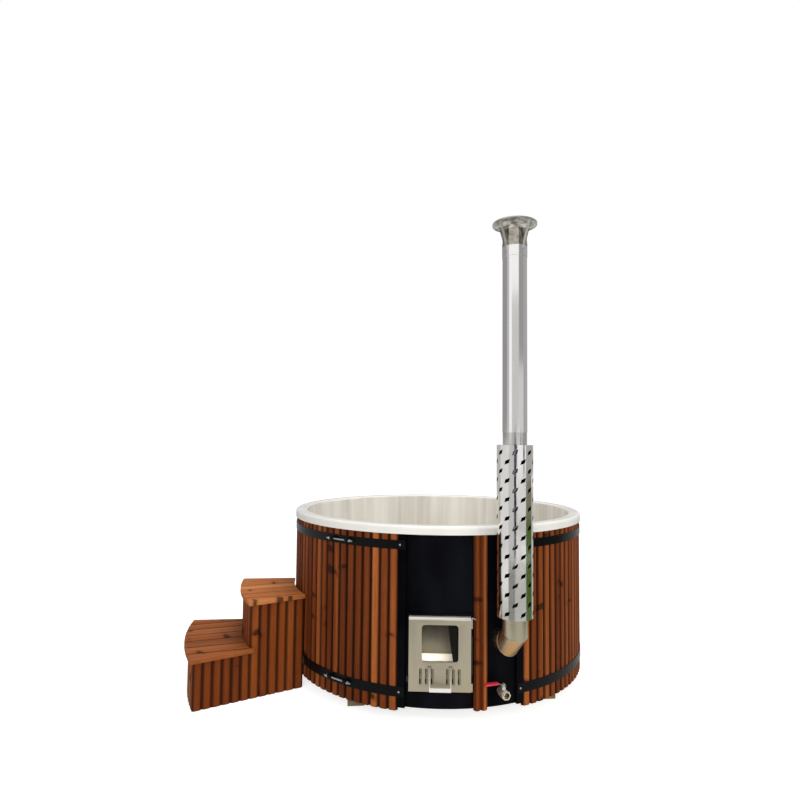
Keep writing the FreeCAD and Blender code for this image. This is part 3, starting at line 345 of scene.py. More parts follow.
tub_middle = (0, -0.4, 0.6)
lamps = [
    soft_lamp("left_lamp", (-2.6, -5.2, 4.4), tub_middle, (3.0, 3.0), 62),
    soft_lamp("right_lamp", (4.2, -4.4, 2.6), tub_middle, (2.5, 2.5), 100),
    soft_lamp("top_lamp", (0.2, -0.2, 5.5), tub_middle, (3.5, 3.5), 145),
    soft_lamp("door_lamp", (-0.6, -6.5, 1.9), tub_middle, (2.5, 2.5), 78),
    soft_lamp("hearth_lamp", (-0.03, -0.615, 0.45), (-0.03, -0.615, 0.228), (0.16, 0.05), 0.15, 60),
]
print("lamps:", len(lamps))

# %% [markdown]
# ## Reflection flags
# Polished steel shows only what stands round it, and in an all-white room it would look like white paint.
# Photographers stand boards round shiny things. These flags are bent boards round the chimney that only gloss
# can see, so they shape the streaks on the steel and leave the floor and the other surfaces alone: grey ones
# round the pipe, narrow dark ones in front of the guard, and a low green one as a lawn would show. Below eye
# level the steel shows the ground, so boards lie there too: grey ones, a lawn, and a warm mat under the
# elbow.

# %% Reflection flags
flag_distance = 4.5
flag_steps = 24
chimney_place = Extent("chimney_pipe_upper").middle


def flag(name, start, end, edges, shade):
    """A glowing board that only gloss can see, bent round the chimney from one angle to another.

    Each of its two edges is a distance from the chimney and a height.
    """
    corners = []
    for step in range(flag_steps + 1):
        turn = start + (end - start) * step / flag_steps
        corners += [chimney_place + polar(distance, turn, height) for distance, height in edges]
    faces = [(2 * k, 2 * k + 1, 2 * k + 3, 2 * k + 2) for k in range(flag_steps)]
    piece = new_piece(name, mesh_of(name, corners, faces))
    finish, shader = new_finish(name)
    wire(shader, "Base Color", (0, 0, 0, 1))
    wire(shader, "Specular IOR Level", 0)
    wire(shader, "Emission Color", colour(*shade))
    wire(shader, "Emission Strength", 1.0)
    piece.data.materials.append(finish)
    for ray in ("visible_camera", "visible_diffuse", "visible_shadow", "visible_transmission"):
        setattr(piece, ray, False)


lawn_shade = (70, 96, 40)
night_blue = (52, 46, 84)
standing_flags = (
    ("flag_left_back", -189, -85, 1.45, 6.0, (152, 151, 152)),
    ("flag_left", -85, -62, 1.45, 6.0, (192, 191, 192)),
    ("flag_front", -36, 29, 1.45, 3.3, (206, 205, 204)),
    ("flag_right_front", 29, 77, 2.4, 6.0, (156, 155, 156)),
    ("flag_right_front_low", 29, 77, 1.45, 2.4, (214, 213, 212)),
    ("flag_right_back", 77, 171, 1.45, 6.0, (172, 171, 172)),
    ("flag_left_low", -189, -112, 0.3, 1.45, (190, 189, 190)),
    ("flag_right_shade", 63, 171, 1.0, 1.45, (176, 174, 170)),
    ("flag_right_hedge", 63, 116, 0.45, 1.0, (122, 118, 100)),
    ("flag_right_lawn", 63, 116, 0.0, 0.45, lawn_shade),
    ("flag_left_middle", -112, -49, 0.2, 1.45, (226, 226, 224)),
    ("flag_middle", -49, -14, 0.0, 1.45, (200, 200, 200)),
    ("flag_right_middle", 5, 63, 0.45, 1.05, (226, 226, 224)),
    ("flag_line", -14, -1, 0.0, 1.1, (14, 13, 18)),
    ("flag_line_high", -15, 5, 1.1, 1.5, night_blue),
    ("flag_line_right", 44, 54, 1.05, 1.5, night_blue),
)
for name, start, end, low, high, shade in standing_flags:
    flag(name, start, end, ((flag_distance, low), (flag_distance, high)), shade)
lying_flags = (
    ("ground_near", 0, 360, 0.001, 1.6, 0.0002, (210, 208, 202)),
    ("ground_far", 0, 360, 1.6, 4.3, 0.0002, (186, 185, 180)),
    ("ground_left", -110, -49, 2.5, 4.3, 0.0004, (236, 236, 232)),
    ("ground_middle", -49, -9, 1.6, 4.3, 0.0004, (138, 137, 135)),
    ("ground_lawn", 63, 116, 1.75, 4.3, 0.0004, lawn_shade),
    ("elbow_mat", 110, 290, 0.001, 0.28, 0.0004, (235, 190, 135)),
)
for name, start, end, near, far, height, shade in lying_flags:
    flag(name, start, end, ((near, height), (far, height)), shade)
print("flags:", len(standing_flags), "standing and", len(lying_flags), "lying")

# %% [markdown]
# ## Stained boards: the finish
# Softwood, machined into ribs and stained reddish brown. Two things vary on the real boards: the tone from
# board to board, and the grain along each one, with dark knots. The pattern could sit on Object coordinates,
# but then the grain would run straight through neighbouring boards. So every board carries its own
# coordinates, "grain" (across, into and along the wood), a random number "board" and the share of groove
# depth, "depth", which lays painted shade into the grooves. Each rib takes a tone of its own from its number
# and its board's. A few cells that lie flat on the face of the board hold a knot: a dark mark with two wings,
# as a branch leaves when it is sawn along.

# %% Stained wood finish
rib_pitch = 0.0499
knots_across, knots_along = 7.0, 8.0
board_shift = (41.0, 17.0, 83.0)
grain_and_groove_shade = colour(26, 8, 2)
knot_tone = colour(34, 13, 5)


def attribute(shader, name, output):
    return add_node(shader, "ShaderNodeAttribute", attribute_name=name).outputs[output]


def along_grain(where, stretch, detail, roughness=0.5, distortion=0.0):
    """Noise on the wood's own coordinates, stretched along the grain."""
    return noise(vector_of("MULTIPLY", where, stretch), 1.0, detail, roughness, distortion)


def knots(where, fibre):
    """How far inside a knot a spot lies; below 0 it lies outside."""
    part = axes_of(where)
    flat = vector_from(where, scaled(part[0], knots_across), scaled(part[2], knots_along))
    cells = add_node(flat, "ShaderNodeTexVoronoi", {"Vector": flat, "Scale": 1.0, "Randomness": 0.8},
                     voronoi_dimensions="2D").outputs
    chosen = add_node(flat, "ShaderNodeSeparateColor", {0: cells["Color"]}).outputs[0]
    size = spread(chosen, 0.6, 1.0, -0.1, 0.56)
    reach = axes_of(vector_of("SUBTRACT", flat, cells["Position"]))
    wing = math_of("ABSOLUTE", reach[0])
    bowed = vector_from(wing, wing, weighted((reach[1], 2.4), (wing, 0.7)))
    ragged = math_of("ADD", vector_of("LENGTH", bowed), scaled(fibre, 0.22))
    return math_of("SUBTRACT", size, ragged)


def stain(name, tones, groove_shade_share):
    """Stained softwood in a dark, a middle and a light tone, with painted shade in its grooves by a share."""
    finish, shader = new_finish(name, roughness=0.55)
    dark, middle, light = [colour(*tone) for tone in tones]
    grain = attribute(shader, "grain", "Vector")
    board = attribute(shader, "board", "Fac")
    depth = attribute(shader, "depth", "Fac")
    where = vector_of("ADD", grain, vector_of("MULTIPLY", board, board_shift))
    fibre = along_grain(where, (620, 620, 16), 2.0)
    knot = knots(where, fibre)
    knot_core = spread(knot, -0.02, 0.08)
    knot_halo = spread(knot, -0.25, 0.02)
    bent = vector_of("ADD", where, vector_from(where, scaled(knot_halo, 0.02)))
    broad = along_grain(bent, (34, 34, 1.3), 3.0, 0.55, 0.6)
    streak = along_grain(bent, (170, 170, 3.5), 4.0, 0.6)
    rib = math_of("FLOOR", math_of("DIVIDE", axes_of(grain)[0], rib_pitch))
    rib_seed = weighted((rib, 3.7), (board, 91.0))
    rib_tone = add_node(rib, "ShaderNodeTexWhiteNoise", {"W": rib_seed}, noise_dimensions="1D").outputs[0]
    tone = weighted((board, 0.35), (rib_tone, 0.42), (broad, 0.45), (streak, 0.45))
    ramp = add_node(tone, "ShaderNodeValToRGB", {0: spread(tone, 0.36, 1.24)})
    ramp.color_ramp.elements[0].color = dark
    ramp.color_ramp.elements[1].color = light
    ramp.color_ramp.elements.new(0.5).color = middle
    # The fibre darkens the grain; the depth attribute lays painted shade into the grooves and gaps.
    layered(shader, ramp.outputs[0], (scaled(fibre, 0.22), grain_and_groove_shade), (scaled(knot_halo, 0.35), dark),
            (scaled(knot_core, 0.75), knot_tone), (scaled(depth, groove_shade_share), grain_and_groove_shade))
    wire(shader, "Roughness", spread(streak, 0.2, 0.8, 0.50, 0.70))
    wire(shader, "Specular IOR Level", 0.10)
    roughen(shader, weighted((streak, 0.7), (fibre, 0.3)), 0.35, 0.0012)
    return finish


stained_wood = stain("stained_wood", ((76, 30, 8), (122, 58, 21), (188, 107, 52)), 0.92)
step_wood = stain("stained_step_wood", ((92, 40, 11), (132, 64, 22), (174, 98, 44)), 0.8)
tread_woods = {}
# The upper tread's lighter tones are painted sheen.
for node, tones in (("step_tread_lower", ((115, 60, 26), (149, 83, 41), (189, 117, 66))),
                    ("step_tread_upper", ((147, 81, 39), (185, 111, 60), (225, 151, 94)))):
    tread_woods[node] = stain(node + "_wood", tones, 0.92)
print("stained wood:", len(stained_wood.node_tree.nodes), "nodes")

# %% [markdown]
# ## A ribbed board
# Each cladding board is planed with three flat ribs and half a groove at each edge, so that neighbours make
# whole grooves. A block with cut grooves would do, but a planer leaves eased shoulders, and those catch the
# light. So the cross-section is drawn once, point by point, and pulled along the board.

# %% Ribbed board
groove_top = 0.0175
groove_floor = 0.007
groove_depth = 0.009
shoulder = 0.0055
shoulder_steps = 5
end_ease = 0.0015
back_steps = 4


def eased_corner(before, corner, after):
    """Points of a rounded corner between two straight runs of the cross-section."""
    start = corner + (before - corner).normalized() * shoulder
    end = corner + (after - corner).normalized() * shoulder
    points = []
    for step in range(shoulder_steps):
        share = step / (shoulder_steps - 1)
        points.append(start * (1 - share) ** 2 + corner * 2 * share * (1 - share) + end * share ** 2)
    return points


def rib_outline(run, ribs, depth):
    """The ribbed face as (along, drop) points, from one edge of the board to the other."""
    pitch = run / ribs
    points = [Vector((0, depth))]
    for k in range(ribs):
        left = k * pitch
        feet = [Vector((left + groove_floor / 2, depth)), Vector((left + pitch - groove_floor / 2, depth))]
        tops = [Vector((left + groove_top / 2, 0)), Vector((left + pitch - groove_top / 2, 0))]
        points.append(feet[0])
        points += eased_corner(feet[0], tops[0], tops[1])
        points += eased_corner(tops[0], tops[1], feet[1])
        points.append(feet[1])
    points.append(Vector((run, depth)))
    return points


def ribbed_board(name, run, ribs, depth, thickness, low, high, place):
    """A board mesh between two heights; place turns (along, drop) into x and y on the object."""
    face = rib_outline(run, ribs, depth)
    back = [Vector((run * (1 - k / back_steps), thickness)) for k in range(back_steps + 1)]
    outline = face + back
    levels = ((low, end_ease), (low + end_ease, 0.0), (high - end_ease, 0.0), (high, end_ease))
    corners = []
    grain = []
    for height, ease in levels:
        for k, point in enumerate(outline):
            drop = point.y + ease if k < len(face) else point.y
            spot = place(point.x, drop)
            corners.append((spot[0], spot[1], height))
            grain.append((point.x, point.y, height))
    around = len(outline)
    faces = [tuple(reversed(range(around))), tuple(range(3 * around, 4 * around))]
    for level in range(len(levels) - 1):
        for k in range(around):
            ahead_k = (k + 1) % around
            faces.append((level * around + k, level * around + ahead_k,
                          (level + 1) * around + ahead_k, (level + 1) * around + k))
    mesh = mesh_of(name, corners, faces)
    outward(mesh)
    mark(mesh, "grain", [value for point in grain for value in point], "FLOAT_VECTOR", "vector")
    # depth: the share of painted shade, full on a groove's floor
    mark(mesh, "depth", [sqrt(min(1.0, point[1] / depth)) for point in grain])
    return mesh


def mark(mesh, name, values, kind="FLOAT", field="value"):
    """Stores a number, or a vector, for each vertex under a name that the finish reads."""
    mesh.attributes.new(name, kind, "POINT").data.foreach_set(field, values)


def outward(mesh):
    """Turns every face outwards and shades the gentle corners smoothly."""
    work = bmesh.new()
    work.from_mesh(mesh)
    bmesh.ops.recalc_face_normals(work, faces=work.faces)
    work.to_mesh(mesh)
    work.free()
    shade(mesh)


def shade(mesh, sharp=32):
    """Shades a mesh smoothly, all but the corners sharper than an angle."""
    mesh.shade_smooth()
    mesh.set_sharp_from_angle(angle=radians(sharp))


def bent_place(outer, start):
    return lambda along, drop: polar(outer - drop, start + degrees(along / outer))


clad = Extent("cladding_boards")
strips = Extent("edge_strips")
board_count = 33
board_ribs = 3
board_gap = 0.0006
board_turn = (360 - (strips.last - strips.first)) / board_count
board_run = radians(board_turn) * clad.outer - board_gap
cladding_board = ribbed_board("cladding_board", board_run, board_ribs, groove_depth, clad.outer - clad.inner,
                              clad.low, clad.high, bent_place(clad.outer, 0))
print("board:", round(board_run * 1000, 1), "mm wide,", len(cladding_board.polygons), "faces")

# %% [markdown]
# ## A row of boards with Geometry Nodes
# All the stained walls are the same board again and again, round a circle or along a line. A tree places the
# board on a line of points, turns each copy a little further, gives it a random "board" number from a fixed
# seed, makes the copies real and sets the finish.


# %% Tree helpers
def new_tree(name, inputs):
    """A geometry tree with named inputs, and the values that they have inside it."""
    tree = bpy.data.node_groups.new(name, "GeometryNodeTree")
    for title, kind in {"Geometry": "Geometry", **inputs}.items():
        tree.interface.new_socket(title, in_out="INPUT", socket_type="NodeSocket" + kind)
    tree.interface.new_socket("Geometry", in_out="OUTPUT", socket_type="NodeSocketGeometry")
    return tree, add_node(tree, "NodeGroupInput").outputs


def copies_turned(points, shape, angle):
    """One copy of an object's shape on each point, turned about Z."""
    pattern = add_node(points, "GeometryNodeObjectInfo", {"Object": shape}).outputs["Geometry"]
    rotation = add_node(points, "FunctionNodeEulerToRotation", {0: vector_from(points, z=angle)}).outputs[0]
    return add_node(points, "GeometryNodeInstanceOnPoints",
                    {"Points": points, "Instance": pattern, "Rotation": rotation}).outputs[0]


def made_real(shape):
    return add_node(shape, "GeometryNodeRealizeInstances", {0: shape}).outputs[0]


def end_tree(shape, finish):
    """Makes the copies real, sets their finish and hands them out of their tree."""
    done = add_node(shape, "GeometryNodeSetMaterial", {"Geometry": made_real(shape), "Material": finish})
    add_node(shape, "NodeGroupOutput", {0: done.outputs[0]})
    print(shape.id_data.name, "tree:", len(shape.id_data.nodes), "nodes")


# %% Board row tree
board_row, row_in = new_tree("board_row", {
    "Board": "Object", "Count": "Int", "First turn": "Float", "Turn": "Float", "Step": "Vector",
    "Seed": "Int", "Finish": "Material"})
row_line = add_node(board_row, "GeometryNodeMeshLine", {"Count": row_in["Count"], "Offset": row_in["Step"]})
row_index = add_node(board_row, "GeometryNodeInputIndex").outputs[0]
row_turn = math_of("ADD", row_in["First turn"], scaled(row_index, row_in["Turn"]))
row_copies = copies_turned(row_line.outputs[0], row_in["Board"], row_turn)
row_chance = add_node(board_row, "FunctionNodeRandomValue", {"ID": row_index, "Seed": row_in["Seed"]},
                      data_type="FLOAT")
row_marked = add_node(board_row, "GeometryNodeStoreNamedAttribute",
                      {"Geometry": row_copies, "Name": "board", "Value": row_chance.outputs[1]},
                      data_type="FLOAT", domain="INSTANCE")
end_tree(row_marked.outputs[0], row_in["Finish"])

# %% [markdown]
# ## Baking and seating
# What a tree makes lives in a modifier, so it is baked to a plain mesh for the export. Each piece is then
# seated: it rides on a body and stands for the solids that it covers.


# %% Baking helpers
def baked(piece):
    """The piece with its modifiers worked into a plain mesh."""
    graph = bpy.context.evaluated_depsgraph_get()
    mesh = bpy.data.meshes.new_from_object(piece.evaluated_get(graph), preserve_all_data_layers=True,
                                           depsgraph=graph)
    piece.modifiers.clear()
    piece.data = mesh
    mesh.name = piece.name
    return piece


def grown(name, tree, values, start=None):
    """A piece made by a geometry tree from named inputs, as a plain mesh."""
    piece = new_piece(name, start or bpy.data.meshes.new(name))
    modifier = piece.modifiers.new(tree.name, "NODES")
    modifier.node_group = tree
    for socket in tree.interface.items_tree:
        if socket.name in values:
            modifier[socket.identifier] = values[socket.name]
    return baked(piece)


def boards(name, mesh, count, first_turn, turn, step, seed, finish):
    pattern = new_piece(name + "_pattern", mesh)
    row = grown(name, board_row, {
        "Board": pattern, "Count": count, "First turn": radians(first_turn), "Turn": radians(turn),
        "Step": step, "Seed": seed, "Finish": finish})
    bpy.data.objects.remove(pattern)
    return row


def joined(name, pieces):
    """Several baked pieces as one."""
    work = bmesh.new()
    for piece in pieces:
        work.from_mesh(piece.data)
    mesh = bpy.data.meshes.new(name)
    work.to_mesh(mesh)
    work.free()
    for finish in pieces[0].data.materials:
        mesh.materials.append(finish)
    for piece in pieces:
        bpy.data.objects.remove(piece)
    return new_piece(name, mesh)


def seated(piece, body, slot, *nodes):
    """The piece rides on its body and stands for the solids named. The slot is not used."""
    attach(piece, body)
    if nodes:
        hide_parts(*nodes)
    return piece


print("baking helpers ready")

# %% [markdown]
# ## Cladding
# The ring of boards runs from one black edge strip round the back of the tub to the other.

# %% Cladding
cladding = boards("cladding_ring", cladding_board, board_count, strips.last, board_turn, (0, 0, 0), 11,
                  stained_wood)
seated(cladding, "tub", "stained_wood", "cladding_boards")
print("cladding:", len(cladding.data.polygons), "faces")

# %% [markdown]
# ## Front post
# One narrower board with two ribs covers the joint of the two black panels. It is a single copy, so it needs
# no tree: the same cross-section is bent round the slightly larger radius of its face. It is a paler board,
# and its groove gets half the painted shade.

# %% Front post
post = Extent("front_post")
post_ribs = 2
post_tone = 0.8
post_shade = 0.5
post_run = radians(post.last - post.first) * post.outer
post_mesh = ribbed_board("front_post_board", post_run, post_ribs, groove_depth, post.outer - post.inner,
                         post.low, post.high, bent_place(post.outer, post.first))
mark(post_mesh, "board", [post_tone] * len(post_mesh.vertices))
# Halves the painted shade in the post's grooves.
for stored in post_mesh.attributes["depth"].data:
    stored.value *= post_shade
post_mesh.materials.append(stained_wood)
seated(new_piece("front_post_board", post_mesh), "tub", "stained_wood", "front_post")
print("post:", round(post_run * 1000, 1), "mm wide")

# %% [markdown]
# ## Steps
# The flight's sides are straight rows of ribs and its risers are bent ones, so both come from the board row:
# the straight ones with a step and no turn, the bent ones with a turn and no step. The sides run to the
# faces of the risers, which stand between them. The flight's wood is paler than the tub's, and its grooves
# get less painted shade.

# %% Step sides and risers
step_groove = 0.006
step_rib = 0.050
upper_riser, lower_riser = Extent("step_riser_upper"), Extent("step_riser_lower")
step_wall = lower_riser.outer - lower_riser.inner
step_inner = Extent("step_tread_upper").inner


def side_row(name, angle, side, start, end, high, seed):
    """A straight row of ribs from start to end, measured outwards from the middle of the tub."""
    ribs = round((end - start) / step_rib)
    pitch = (end - start) / ribs
    turn = Matrix.Rotation(radians(angle), 4, "Z")
    rib = ribbed_board(name, pitch, 1, step_groove, step_wall, 0.0, high,
                       lambda along, drop: turn @ Vector((-side * drop, -(start + along), 0)))
    return boards(name, rib, ribs, 0, 0, turn @ Vector((0, -pitch, 0)), seed, step_wood)


for name, angle, side, seed in (("step_side_near", Extent("step_side_near").last, 1, 21),
                                ("step_side_far", Extent("step_side_far").first, -1, 22)):
    upper = side_row(name + "_upper", angle, side, step_inner, upper_riser.outer, upper_riser.high, seed)
    lower = side_row(name + "_lower", angle, side, upper_riser.outer, lower_riser.outer, lower_riser.high,
                     seed + 10)
    seated(joined(name + "_boards", [upper, lower]), "steps", "stained_wood", name)

for name, riser, seed in (("step_riser_lower", lower_riser, 31), ("step_riser_upper", upper_riser, 33)):
    ribs = round(radians(riser.last - riser.first) * riser.outer / step_rib)
    turn = (riser.last - riser.first) / ribs
    rib = ribbed_board(name, radians(turn) * riser.outer, 1, step_groove, step_wall, riser.low,
                       riser.high, bent_place(riser.outer, riser.first))
    riser_boards = boards(name + "_boards", rib, ribs, 0, turn, (0, 0, 0), seed, step_wood)
    seated(riser_boards, "steps", "stained_wood", name)
print("steps: two sides and two risers")

# %% [markdown]
# ## Softened copies
# A solid from CAD has knife edges; real planks are eased and folded sheet has a bend. A copy of the solid is
# welded, its flat faces are merged, and a Bevel rounds the sharp edges. The solid itself stays as it was.

# %% Softening helper
sharp_corner = 30
flat_corner = 0.5
weld_distance = 2e-6


def softened(node, ending, body, slot, width, finishes, segments=2):
    """A solid's copy, seated in its place, with sharp edges rounded by the width, in one or two finishes."""
    source = frame["nodes"][node].data
    name = node + "_" + ending
    mesh = mesh_of(name, [v.co[:] for v in source.vertices], [p.vertices[:] for p in source.polygons])
    work = bmesh.new()
    work.from_mesh(mesh)
    bmesh.ops.remove_doubles(work, verts=work.verts, dist=weld_distance)
    bmesh.ops.dissolve_limit(work, angle_limit=radians(flat_corner), verts=work.verts, edges=work.edges)
    work.to_mesh(mesh)
    work.free()
    piece = new_piece(name, mesh)
    bevel = piece.modifiers.new("eased edges", "BEVEL")
    bevel.width = width
    bevel.segments = segments
    bevel.limit_method = "ANGLE"
    bevel.angle_limit = radians(sharp_corner)
    bevel.use_clamp_overlap = True
    baked(piece)
    shade(piece.data)
    for finish in finishes:
        piece.data.materials.append(finish)
    return seated(piece, body, slot, node)


def second_finish(piece, chosen):
    """Gives the faces that the test picks the piece's second finish, and counts them."""
    for face in piece.data.polygons:
        face.material_index = 1 if chosen(face) else 0
    return sum(face.material_index for face in piece.data.polygons)


def islands(mesh):
    """For each vertex, the number of the loose part that it belongs to."""
    group = list(range(len(mesh.vertices)))

    def root(k):
        while group[k] != k:
            group[k] = group[group[k]]
            k = group[k]
        return k
    for edge in mesh.edges:
        first, second = root(edge.vertices[0]), root(edge.vertices[1])
        group[max(first, second)] = min(first, second)
    roots = [root(k) for k in range(len(group))]
    order = {value: number for number, value in enumerate(sorted(set(roots)))}
    return [order[value] for value in roots]


print("softening helper ready")

# %% [markdown]
# ## Treads
# The treads are planks side by side, sawn to the curve of the tub, with eased noses. They are paler than the
# walls, and the upper one is paler still as painted sheen. The grain runs along the planks, so their
# coordinates are the object's, turned to that line. The sides that face a gap get painted shade as a
# groove's floor does, so the gaps look dark.

# %% Treads
lower_tread = Extent("step_tread_lower")
step_middle = (lower_tread.first + lower_tread.last) / 2
tread_half = (lower_tread.last - lower_tread.first) / 2
edge_margin = 0.5
tone_pattern = (0.62, 0.35, 0.78, 0.50, 0.30, 0.70, 0.45)
unturn = Matrix.Rotation(radians(-step_middle), 4, "Z")
for node, tread_wood in tread_woods.items():
    tread = softened(node, "planks", "steps", "stained_wood", 0.004, [tread_wood], 3)
    plank = islands(tread.data)
    local = [unturn @ v.co for v in tread.data.vertices]
    sideways = [abs((unturn.to_3x3() @ v.normal).x) > 0.9 for v in tread.data.vertices]
    inside = [abs(degrees(atan2(p.x, -p.y))) < tread_half - edge_margin for p in local]
    mark(tread.data, "grain", [value for p in local for value in (p.x, p.z, p.y)], "FLOAT_VECTOR", "vector")
    mark(tread.data, "board", [tone_pattern[k % len(tone_pattern)] for k in plank])
    # Plank sides that face a gap get the full painted shade.
    mark(tread.data, "depth", [1.0 if side and within else 0.0 for side, within in zip(sideways, inside)])
    print(node, max(plank) + 1, "planks")

# %% [markdown]
# ## Bare softwood
# Beams, deck, rings and the frame of the steps are unstained planed timber. It lies out of sight, but the
# beam ends show under the cladding. Noise stretched along the grain is enough here.

# %% Bare softwood
bare_wood, bare_shader = new_finish("bare_softwood", roughness=0.7)
bare_grain = speckle(bare_shader, 1.0, 5.0, 0.6, (2.0, 60, 60), 0.8)
bare_fibre = speckle(bare_shader, 1.0, 2.0, 0.5, (14, 420, 420))
# These tones are darkened as painted shade, for the beam ends that stand under the tub.
layered(bare_shader, colour(118, 106, 78), (spread(bare_grain, 0.3, 0.7), colour(156, 142, 108)),
        (scaled(bare_fibre, 0.25), colour(84, 70, 46)))
roughen(bare_shader, bare_grain, 0.3, 0.001)


def dress(finish, *nodes):
    """Puts a finish on solids that keep their CAD shape."""
    for node in nodes:
        frame["nodes"][node].material_slots[0].material = finish


bare_nodes = ("base_deck", "floor_bearers", "lower_ring", "upper_ring", "uprights", "step_frame")
dress(bare_wood, *bare_nodes)
softened("base_beams", "eased", "tub", "pale_wood", 0.003, [bare_wood])
print("bare softwood on", len(bare_nodes), "hidden nodes and on the beams")

# %% [markdown]
# ## Moulded shell
# Glossy white resin over a mould: nearly flat in colour, with a faint waviness that bends reflections and
# very slight cloudiness. The wall of the bowl is painted greyer as shade, with upright streaks of painted
# shade and reflection. The wall is told from the seat by the way its surface faces. The solid already has
# the rolled rim and the seat, so it only needs its finish.

# %% Moulded shell
gelcoat, gel_shader = new_finish("white_gelcoat", roughness=0.16)
rim_width = 0.07
bowl_radius = Extent("tub_liner").outer - rim_width
gel_cloud = speckle(gel_shader, 1.5, 3.0, 0.5, (3, 3, 0.6))
gel_wave = speckle(gel_shader, 9.0, 2.0)
gel_peel = speckle(gel_shader, 160.0, 2.0)
# Noise for the painted streaks of shade and reflection on the bowl's wall.
gel_streak_noise = speckle(gel_shader, 1.0, 3.0, 0.55, (8, 8, 0.3))
gel_reach = vector_of("LENGTH", place_on_piece(gel_shader, (1, 1, 0)))
gel_inside = spread(gel_reach, bowl_radius + 0.002, bowl_radius + 0.010, 1.0, 0.0)
gel_facing = add_node(gel_shader, "ShaderNodeTexCoord").outputs["Normal"]
gel_level = math_of("ABSOLUTE", axes_of(gel_facing)[2])
# The upright wall inside the bowl, which gets the painted shade and the streaks.
gel_shaded_wall = scaled(gel_inside, spread(gel_level, 0.3, 0.7, 1.0, 0.0))
gel_painted_streaks = scaled(spread(gel_streak_noise, 0.40, 0.68), gel_shaded_wall)
# The wall's greyer tone is painted shade; its streaks are painted shade and reflection.
layered(gel_shader, colour(226, 223, 216), (gel_cloud, colour(240, 238, 232)),
        (scaled(gel_shaded_wall, 0.6), colour(224, 218, 207)), (scaled(gel_painted_streaks, 0.75), colour(186, 180, 170)))
wire(gel_shader, "Roughness", spread(gel_cloud, 0.3, 0.7, 0.12, 0.22))
roughen(gel_shader, math_of("ADD", gel_wave, scaled(gel_peel, 0.06)), 0.25, 0.004)
dress(gelcoat, "tub_liner")
print("shell dressed, its bowl", round(2 * bowl_radius, 2), "m wide")

# %% [markdown]
# ## Black paint
# Panels and strips are sheet steel in a deep black powder coat that hardly shines. The hoops are strap steel
# in a glossier black, which shows a pale sheen where it turns away from the eye. Both have fine orange peel
# and soft upright clouds of painted sheen in a greyer, slightly blue tone, so one function makes both.


# %% Black paint
def black_paint(name, dark, sheen_tone, shine, rough):
    """Black powder coat with clouds of painted sheen in a second tone, a level of shine and a least
    roughness.
    """
    finish, shader = new_finish(name)
    sheen_cloud = speckle(shader, 2.0, 4.0, 0.5, (2, 2, 0.8))
    # The paler tone in the clouds is painted sheen.
    layered(shader, colour(*dark), (spread(sheen_cloud, 0.35, 0.75), colour(*sheen_tone)))
    wire(shader, "Roughness", spread(sheen_cloud, 0.3, 0.7, rough, rough + 0.14))
    wire(shader, "Specular IOR Level", shine)
    roughen(shader, speckle(shader, 520.0, 2.0), 0.12, 0.0004)
    return finish


panel_black = black_paint("matt_black_paint", (4, 4, 6), (20, 21, 26), 0.02, 0.32)
hoop_black = black_paint("satin_black_paint", (8, 8, 10), (15, 15, 17), 0.1, 0.2)
# The flue collar is polished steel painted black as a painted reflection of the dark panel round it.
dress(panel_black, "front_panel_left", "front_panel_right", "edge_strips", "flue_collar", "hinge_lugs")
dress(hoop_black, "hoop_upper", "hoop_lower")
softened("tensioner_lugs", "eased", "tub", "black_metal", 0.0015, [hoop_black])
softened("door_frame", "folded", "tub", "black_metal", 0.0015, [panel_black])
print("black paint on panels, strips, hoops, both kinds of lugs and the door's frame")

# %% [markdown]
# ## Zinc-plated fasteners
# Rods, nuts and bolts are bright zinc: metallic, a neutral grey, and mottled. The hinge pin and the catch are
# dark steel, all but the pin's bent tail, which is bright metal, so the pin's colour changes with height.

# %% Zinc
zinc = mottled("bright_zinc", ((176, 177, 177), (216, 217, 216)), (260.0, 3.0), 1.0, 0.28, sheen=(0.2, 0.36))
dress(zinc, "stem_nut", "hoop_bolts", "tensioner_rods", "tensioner_nuts")

blackened, pin_shader = new_finish("blackened_steel", roughness=0.4)
pin_top = Extent("hinge_pin").high
pin_bright_tail = spread(height_of(pin_shader), pin_top - 0.016, pin_top - 0.012)
layered(pin_shader, colour(22, 22, 23), (speckle(pin_shader, 200.0, 3.0), colour(44, 43, 42)),
        (pin_bright_tail, colour(225, 225, 223)))
wire(pin_shader, "Metallic", pin_bright_tail)
dress(blackened, "hinge_pin", "catch_bolt")
print("zinc on the fasteners, blackened steel on the pin and the catch")

# %% [markdown]
# ## Threads on the tensioner rods
# The hoops are drawn tight by threaded rods. A thread is a ridge on a helix, so the tree draws a spiral,
# sweeps a small three-cornered ridge along it, and sets the finish. It lies over the plain rod of the solids.

# %% Threads
rod_radius = 0.004
rod_half = 0.092
rod_ring = 0.9078
rod_levels = (0.1515, 0.869)
tensioner_angle = -35.4
thread_pitch = 0.0025
thread_ridge = 0.0007
thread_turns = 2 * rod_half / thread_pitch
thread_tree, thread_in = new_tree("thread", {
    "Radius": "Float", "Length": "Float", "Turns": "Float", "Ridge": "Float", "Finish": "Material"})
helix = add_node(thread_tree, "GeometryNodeCurveSpiral",
                 {"Resolution": 12, "Rotations": thread_in["Turns"], "Start Radius": thread_in["Radius"],
                  "End Radius": thread_in["Radius"], "Height": thread_in["Length"]})
ridge = add_node(thread_tree, "GeometryNodeCurvePrimitiveCircle",
                 {"Resolution": 3, "Radius": thread_in["Ridge"]})
swept = add_node(thread_tree, "GeometryNodeCurveToMesh",
                 {"Curve": helix.outputs[0], "Profile Curve": ridge.outputs[0], "Fill Caps": True})
end_tree(swept.outputs[0], thread_in["Finish"])

